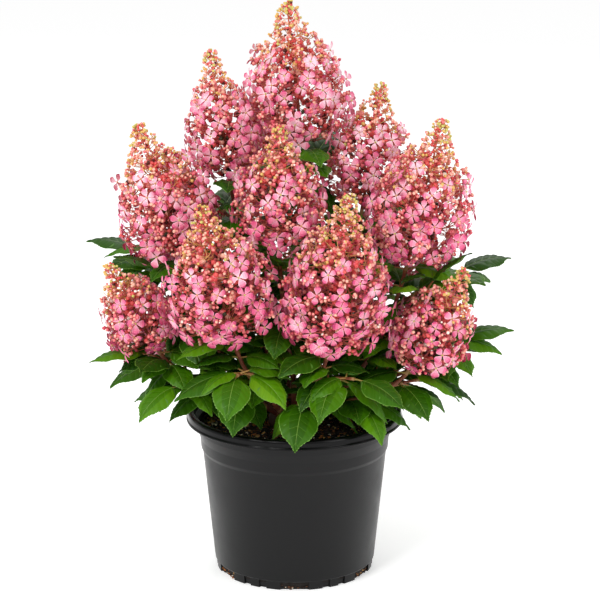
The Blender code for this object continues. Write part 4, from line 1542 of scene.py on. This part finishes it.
def facing(directions, spins):
    """Rotation matrices that turn +Z to each direction, after a spin about it."""
    z = directions / np.linalg.norm(directions, axis=1, keepdims=True)
    guide = np.where(np.abs(z[:, 2:]) < 0.9, [[0.0, 0.0, 1.0]], [[1.0, 0.0, 0.0]])
    x = np.cross(guide, z)
    x /= np.linalg.norm(x, axis=1, keepdims=True)
    y = np.cross(z, x)
    cos, sin = np.cos(spins)[:, None], np.sin(spins)[:, None]
    return np.stack([x * cos + y * sin, y * cos - x * sin, z], axis=2)


def add_sticks(pile, starts, ends, start_radius, end_radius, shades):
    """Adds thin three-sided stalks between pairs of points."""
    turns = facing(ends - starts, np.zeros(len(starts)))
    ring = math.tau * np.arange(3) / 3
    star = np.stack([np.cos(ring), np.sin(ring), np.zeros(3)])
    arms = (turns @ star).transpose(0, 2, 1)
    shapes = np.concatenate(
        [starts[:, None] + arms * start_radius, ends[:, None] + arms * end_radius], axis=1
    )
    pile.add_copies(shapes, STICK_FACES, np.asarray(shades)[:, None])


# How often each bud colour comes: rose low down, coral, peach, then green-gold at the tip
BUD_LEVELS = (0.45, 0.70, 0.84, 0.93)
BUD_MIXES = np.array(
    [
        (0.10, 0.26, 0.32, 0.18, 0.08, 0.04, 0.0, 0.0, 0.02, 0.0, 0.0),
        (0.0, 0.07, 0.20, 0.30, 0.23, 0.06, 0.12, 0.02, 0.0, 0.0, 0.0),
        (0.0, 0.03, 0.10, 0.24, 0.24, 0.07, 0.26, 0.06, 0.0, 0.0, 0.0),
        (0.0, 0.0, 0.02, 0.05, 0.07, 0.06, 0.42, 0.38, 0.0, 0.0, 0.0),
    ]
)
# The inner layer: rose and red-coral buds, and lower down dark red-brown and dark olive ones, which are
# painted shade deep inside the head
DEEP_LEVELS = (0.18, 0.50)
DEEP_MIXES = np.array(
    [
        (0.14, 0.14, 0.05, 0.0, 0.0, 0.0, 0.0, 0.0, 0.25, 0.22, 0.20),
        (0.04, 0.18, 0.18, 0.06, 0.0, 0.0, 0.02, 0.0, 0.46, 0.06, 0.0),
    ]
)


def bud_shares(share, inner):
    """How often each bud colour comes at a height. The inner layer's dark red-brown and dark olive buds
    are painted shade deep in the head.
    """
    levels, mixes = (DEEP_LEVELS, DEEP_MIXES) if inner else (BUD_LEVELS, BUD_MIXES)
    return [np.interp(share, levels, mix) for mix in mixes.T]


def spread_evenly(count, top, extra):
    """Heights that spread a number of things evenly over a head's skin, up to a height."""
    levels = np.linspace(0.02, top, 200)
    skin = np.cumsum([head_width(level) + extra for level in levels])
    return np.interp((np.arange(count) + 0.5) / count, skin / skin[-1], levels)


def grow_limbs(head, place, branches):
    """Adds the main side branches, and returns points along them and along the rachis."""
    along = np.linspace(0.0, 1.0, LIMB_POINTS)
    marks = [np.array([0.0, 0.0, head.length * level]) for level in np.linspace(0.6, 0.98, 12)]
    for limb in range(LIMBS):
        share = LIMBS_FROM + LIMBS_OVER * (limb + 0.5) / LIMBS
        turn = limb * GOLDEN_TURN
        reach = head_width(share) * head.radius * LIMB_REACH
        line = np.zeros((LIMB_POINTS, 3))
        line[:, 0] = math.cos(turn) * reach * along
        line[:, 1] = math.sin(turn) * reach * along
        rise = LIMB_RISE * along + LIMB_UPTURN * along**2
        line[:, 2] = share * head.length + reach * rise - reach * LIMB_SAG
        radii = LIMB_RADIUS * (1.0 - LIMB_TAPER * along)
        points, faces = tube(place(line), radii, 4)
        branches.add(points, faces, 2 if share > RACHIS_TAN_FROM else 1)
        marks += list(line[1:])
    return np.array(marks)


def nearest_marks(points, marks):
    """The branch mark that each point's stalk springs from: a near one, and a lower one."""
    ways = points[:, None] - marks[None]
    above = np.clip(LEAST_RISE - ways[:, :, 2], 0.0, None)
    costs = np.linalg.norm(ways, axis=2) + DOWNWARD_COST * above
    return marks[costs.argmin(axis=1)]


def grow_clusters(head, layer, marks, place, branches, buds, rng):
    """Adds one layer of bud clusters, each on a bent twig from the nearest lower branch."""
    near, far, portion = CLUSTER_LAYERS[layer]
    count = round(head.radius * head.length * CLUSTERS_PER_AREA * portion)
    shares = spread_evenly(count, HEAD_TOP, SPIRE_THINNING)
    order = np.arange(count) + 0.5
    turns = order * GOLDEN_TURN + rng.uniform(-TURN_JITTER, TURN_JITTER, count) + layer
    width = np.array([head_width(share) for share in shares]) * head.radius
    reach = width * rng.uniform(near, far, count)
    reach *= np.interp(shares, (SPIRE_FROM - 0.06, SPIRE_FROM + 0.08), (1.0, SPIRE_WAIST))
    out = np.stack([np.cos(turns), np.sin(turns), np.zeros(count)], axis=1)
    ends = out * reach[:, None]
    ends[:, 2] = shares * head.length
    starts = nearest_marks(ends, marks)
    bends = (starts + ends) / 2
    bends[:, 2] -= TWIG_SAG * np.linalg.norm(ends - starts, axis=1)
    wood = np.where(shares > RACHIS_TAN_FROM, 2, 1)
    add_sticks(branches, place(starts), place(bends), BRANCH_RADIUS, BRANCH_RADIUS * 0.8, wood)
    add_sticks(branches, place(bends), place(ends), BRANCH_RADIUS * 0.8, BRANCH_RADIUS * 0.6, wood)
    bud, bud_faces = (INNER_BUD, INNER_BUD_FACES) if layer else (BUD, BUD_FACES)
    for i in range(count):
        spire = shares[i] > SPIRE_FROM
        amount = rng.integers(*BUDS_IN_CLUSTER)
        spread = SPIRE_SPREAD if spire else CLUSTER_SPREAD
        aim = out[i] * (0.5 if spire else 0.8) + np.array([0.0, 0.0, 0.9 if spire else 0.5])
        aim /= np.linalg.norm(aim)
        bearings = rng.normal(0.0, 0.60, (amount, 3)) + aim
        bearings /= np.linalg.norm(bearings, axis=1, keepdims=True)
        tips = ends[i] + bearings * spread * rng.uniform(0.5, 1.1, (amount, 1))
        sizes = rng.uniform(*(SPIRE_BUD_RADII if spire else BUD_RADII), amount)
        base = np.repeat(ends[i][None], amount, axis=0)
        tone = np.full(amount, wood[i])
        if layer == 0:
            add_sticks(branches, place(base), place(tips), BUD_STALK_RADIUS, BUD_STALK_RADIUS, tone)
        tones = rng.choice(len(BUD_TINTS), amount, p=bud_shares(shares[i], layer == 1))
        # Cream buds are shrunk to small bright specks: partly real cream buds, partly painted highlight
        sizes = np.where(tones == CREAM, sizes * CREAM_SIZE, sizes)
        if layer == 1 and not spire:
            sizes *= DEEP_GROWTH
        turned = facing(bearings, rng.uniform(0, math.tau, amount))
        shapes = tips[:, None] + (bud[None] * sizes[:, None, None]) @ turned.transpose(0, 2, 1)
        shades = np.repeat(tones[:, None], len(bud_faces), axis=1)
        # Each crown is one tint paler than its bud, and a share of crowns are peach or cream: partly
        # the buds' own paler tips, partly painted highlight
        crown_highlight_tones = np.where(tones < CREAM - 1, tones + 1, tones)
        highlit_crowns = (tones < CREAM) & (rng.random(amount) < HIGHLIGHT_CROWNS)
        crown_highlight_tones = np.where(highlit_crowns, CREAM - 1 + (rng.random() < CREAM_HIGHLIGHT_CROWNS), crown_highlight_tones)
        shades[:, -BUD_SIDES:] = crown_highlight_tones[:, None]
        buds.add_copies(place(shapes), bud_faces, shades)


def add_floret(pile, place, centre, face, size, deepness, rng):
    """Adds one open floret: four to six petals round a small gold eye."""
    petals = rng.choice(PETAL_NUMBERS, p=PETAL_NUMBER_SHARES)
    turn = facing(face[None], rng.uniform(0, math.tau, 1))[0]
    for petal in range(petals):
        angle = math.tau * petal / petals + rng.uniform(-0.14, 0.14)
        length = size * rng.uniform(0.90, 1.08)
        shape = PETAL * (length, length * (1.10 if petals == 4 else 0.92), length)
        shape[:, 2] += shape[:, 0] * rng.uniform(-0.14, 0.24) + (petal % 2) * 0.0005
        cos, sin = math.cos(angle), math.sin(angle)
        spun = shape @ np.array([[cos, sin, 0.0], [-sin, cos, 0.0], [0.0, 0.0, 1.0]])
        tone = np.round(PETAL_DEPTHS + deepness + rng.uniform(-0.3, 0.3))
        pile.add(place(centre + spun @ turn.T), PETAL_FACES, np.clip(tone, 0, len(PETAL_TINTS) - 1))
    eye = centre + face * 0.0008 + (BUD * 0.0014) @ turn.T
    pile.add(place(eye), BUD_FACES, len(PETAL_TINTS) + int(rng.random() < 0.35))


def grow_head(name, branches, buds, florets):
    """Adds one panicle to the three piles: its branches, its buds and its florets."""
    head = HEADS[name]
    rng = np.random.default_rng([ord(letter) for letter in f"panicle {name}"])
    turn = np.array(UP.rotation_difference(head_axis(head)).to_matrix())
    foot = np.array(head_foot(head))

    def place(points):
        return foot + np.asarray(points) @ turn.T

    heights = np.linspace(0.0, HEAD_TOP, RACHIS_STATIONS)
    bend = np.array([np.sin(heights * 19 + 1), np.cos(heights * 17), heights * 0]).T * 0.0008
    bend[0] = 0.0
    line = bend + heights[:, None] * np.array([0.0, 0.0, head.length])
    radii = SHOOT_TOP_RADIUS + (RACHIS_TOP_RADIUS - SHOOT_TOP_RADIUS) * heights**0.8
    points, faces = tube(place(line), radii, RACHIS_SIDES)
    rings = np.minimum(faces.min(axis=1) // RACHIS_SIDES, RACHIS_STATIONS - 1)
    branches.add(points, faces, np.where(heights[rings] > RACHIS_TAN_FROM, 1, 0))
    marks = grow_limbs(head, place, branches)
    for layer in range(len(CLUSTER_LAYERS)):
        grow_clusters(head, layer, marks, place, branches, buds, rng)

    count = round(head.radius * head.length * FLORETS_PER_AREA)
    low_tilt, tilt_gain, tilt_scatter = FLORET_TILT
    for i, share in enumerate(spread_evenly(count, FLORETS_TOP, 0.0)):
        bearing = i * GOLDEN_TURN + rng.uniform(-TURN_JITTER, TURN_JITTER)
        size = rng.uniform(*FLORET_RADII) * (1.0 - FLORETS_SHRINK * share)
        reach = head.radius * head_width(share) * rng.uniform(*FLORET_STAND)
        scatter = rng.uniform(-tilt_scatter, tilt_scatter)
        tilt = math.radians(low_tilt + tilt_gain * share + scatter)
        yaw = bearing + rng.uniform(-FLORET_YAW, FLORET_YAW)
        level = np.array([math.cos(yaw), math.sin(yaw), 0.0])
        face = level * math.cos(tilt) + np.array([0.0, 0.0, math.sin(tilt)])
        out = np.array([math.cos(bearing), math.sin(bearing), 0.0])
        centre = out * reach + np.array([0.0, 0.0, share * head.length])
        deepness = rng.choice(FLORET_TONES, p=FLORET_TONE_SHARES)
        deepness += FOOT_DEEPER - TIP_PALER * share
        deepness -= YOUNG_PALENESS * (foot[2] - HEADS_MIDDLE)
        add_floret(florets, place, centre, face, size, deepness, rng)
        stalk = (centre - face * BUD_STALK_RADIUS)[None]
        root = nearest_marks(stalk, marks)
        add_sticks(branches, place(root), place(stalk), 0.0006, BUD_STALK_RADIUS, [1])


branch_pile = Pile()
for group in ("front", "back"):
    names = [name for name in FLOWERING if (name in FRONT) == (group == "front")]
    bud_pile, floret_pile = Pile(), Pile()
    for name in names:
        grow_head(name, branch_pile, bud_pile, floret_pile)
    bud_pile.make(f"buds_{group}", bud_materials, "petal")
    florets = floret_pile.make(f"florets_{group}", petal_materials, "petal")
    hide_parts(*(f"bloom_{name}" for name in names))
branch_pile.make("panicle_branches", branch_materials, "bark")


# The studio
# A plain white floor that runs out of sight, soft light all round, and one large soft light from
# the upper left, with the camera in front and a little above the plant.

FLOOR_REACH = 30.0
CAMERA_PLACE = (0.007, -3.0, 1.16)
CAMERA_PITCH = 75.0
CAMERA_LENS = 145.9

floor_material, _ = surface(
    "white studio floor",
    "#FFFFFF",
    0.9,
    {"Emission Color": (1.0, 1.0, 1.0, 1.0), "Emission Strength": 0.30, "Specular IOR Level": 0.0},
)
floor_corners = [
    (x * FLOOR_REACH, y * FLOOR_REACH, 0.0) for x, y in ((-1, -1), (1, -1), (1, 1), (-1, 1))
]
floor = add_piece("studio_floor", floor_corners, [(0, 1, 2, 3)], [floor_material])
floor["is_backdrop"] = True


def soft_light(name, place, aim, size, power):
    """A square soft light that looks at a point of the plant."""
    data = bpy.data.lights.new(name, "AREA")
    data.shape = "SQUARE"
    data.size = size
    data.energy = power
    light = bpy.data.objects.new(name, data)
    light.location = place
    light.rotation_euler = (Vector(aim) - Vector(place)).to_track_quat("-Z", "Y").to_euler()
    bpy.context.scene.collection.objects.link(light)


PLANT_MIDDLE = (0.0, 0.0, 0.40)
soft_light("key light", (-1.5, -2.1, 2.5), PLANT_MIDDLE, 1.2, 54)
soft_light("fill light", (2.2, -1.8, 1.4), PLANT_MIDDLE, 1.6, 18)
soft_light("back light", (0.4, 2.2, 2.4), PLANT_MIDDLE, 1.6, 24)

world = bpy.data.worlds.new("white studio")
world.use_nodes = True
world.node_tree.nodes["Background"].inputs["Color"].default_value = (1.0, 1.0, 1.0, 1.0)
world.node_tree.nodes["Background"].inputs["Strength"].default_value = 0.66
bpy.context.scene.world = world
bpy.context.scene.view_settings.view_transform = "Standard"

camera_data = bpy.data.cameras.new("camera")
camera_data.lens = CAMERA_LENS
camera = bpy.data.objects.new("camera", camera_data)
camera.location = CAMERA_PLACE
camera.rotation_euler = (math.radians(CAMERA_PITCH), 0.0, 0.0)
bpy.context.scene.collection.objects.link(camera)
bpy.context.scene.camera = camera

boxes = {"cad": cad_box, "visual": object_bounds()}
{key: [list(corner) for corner in box] for key, box in boxes.items()}
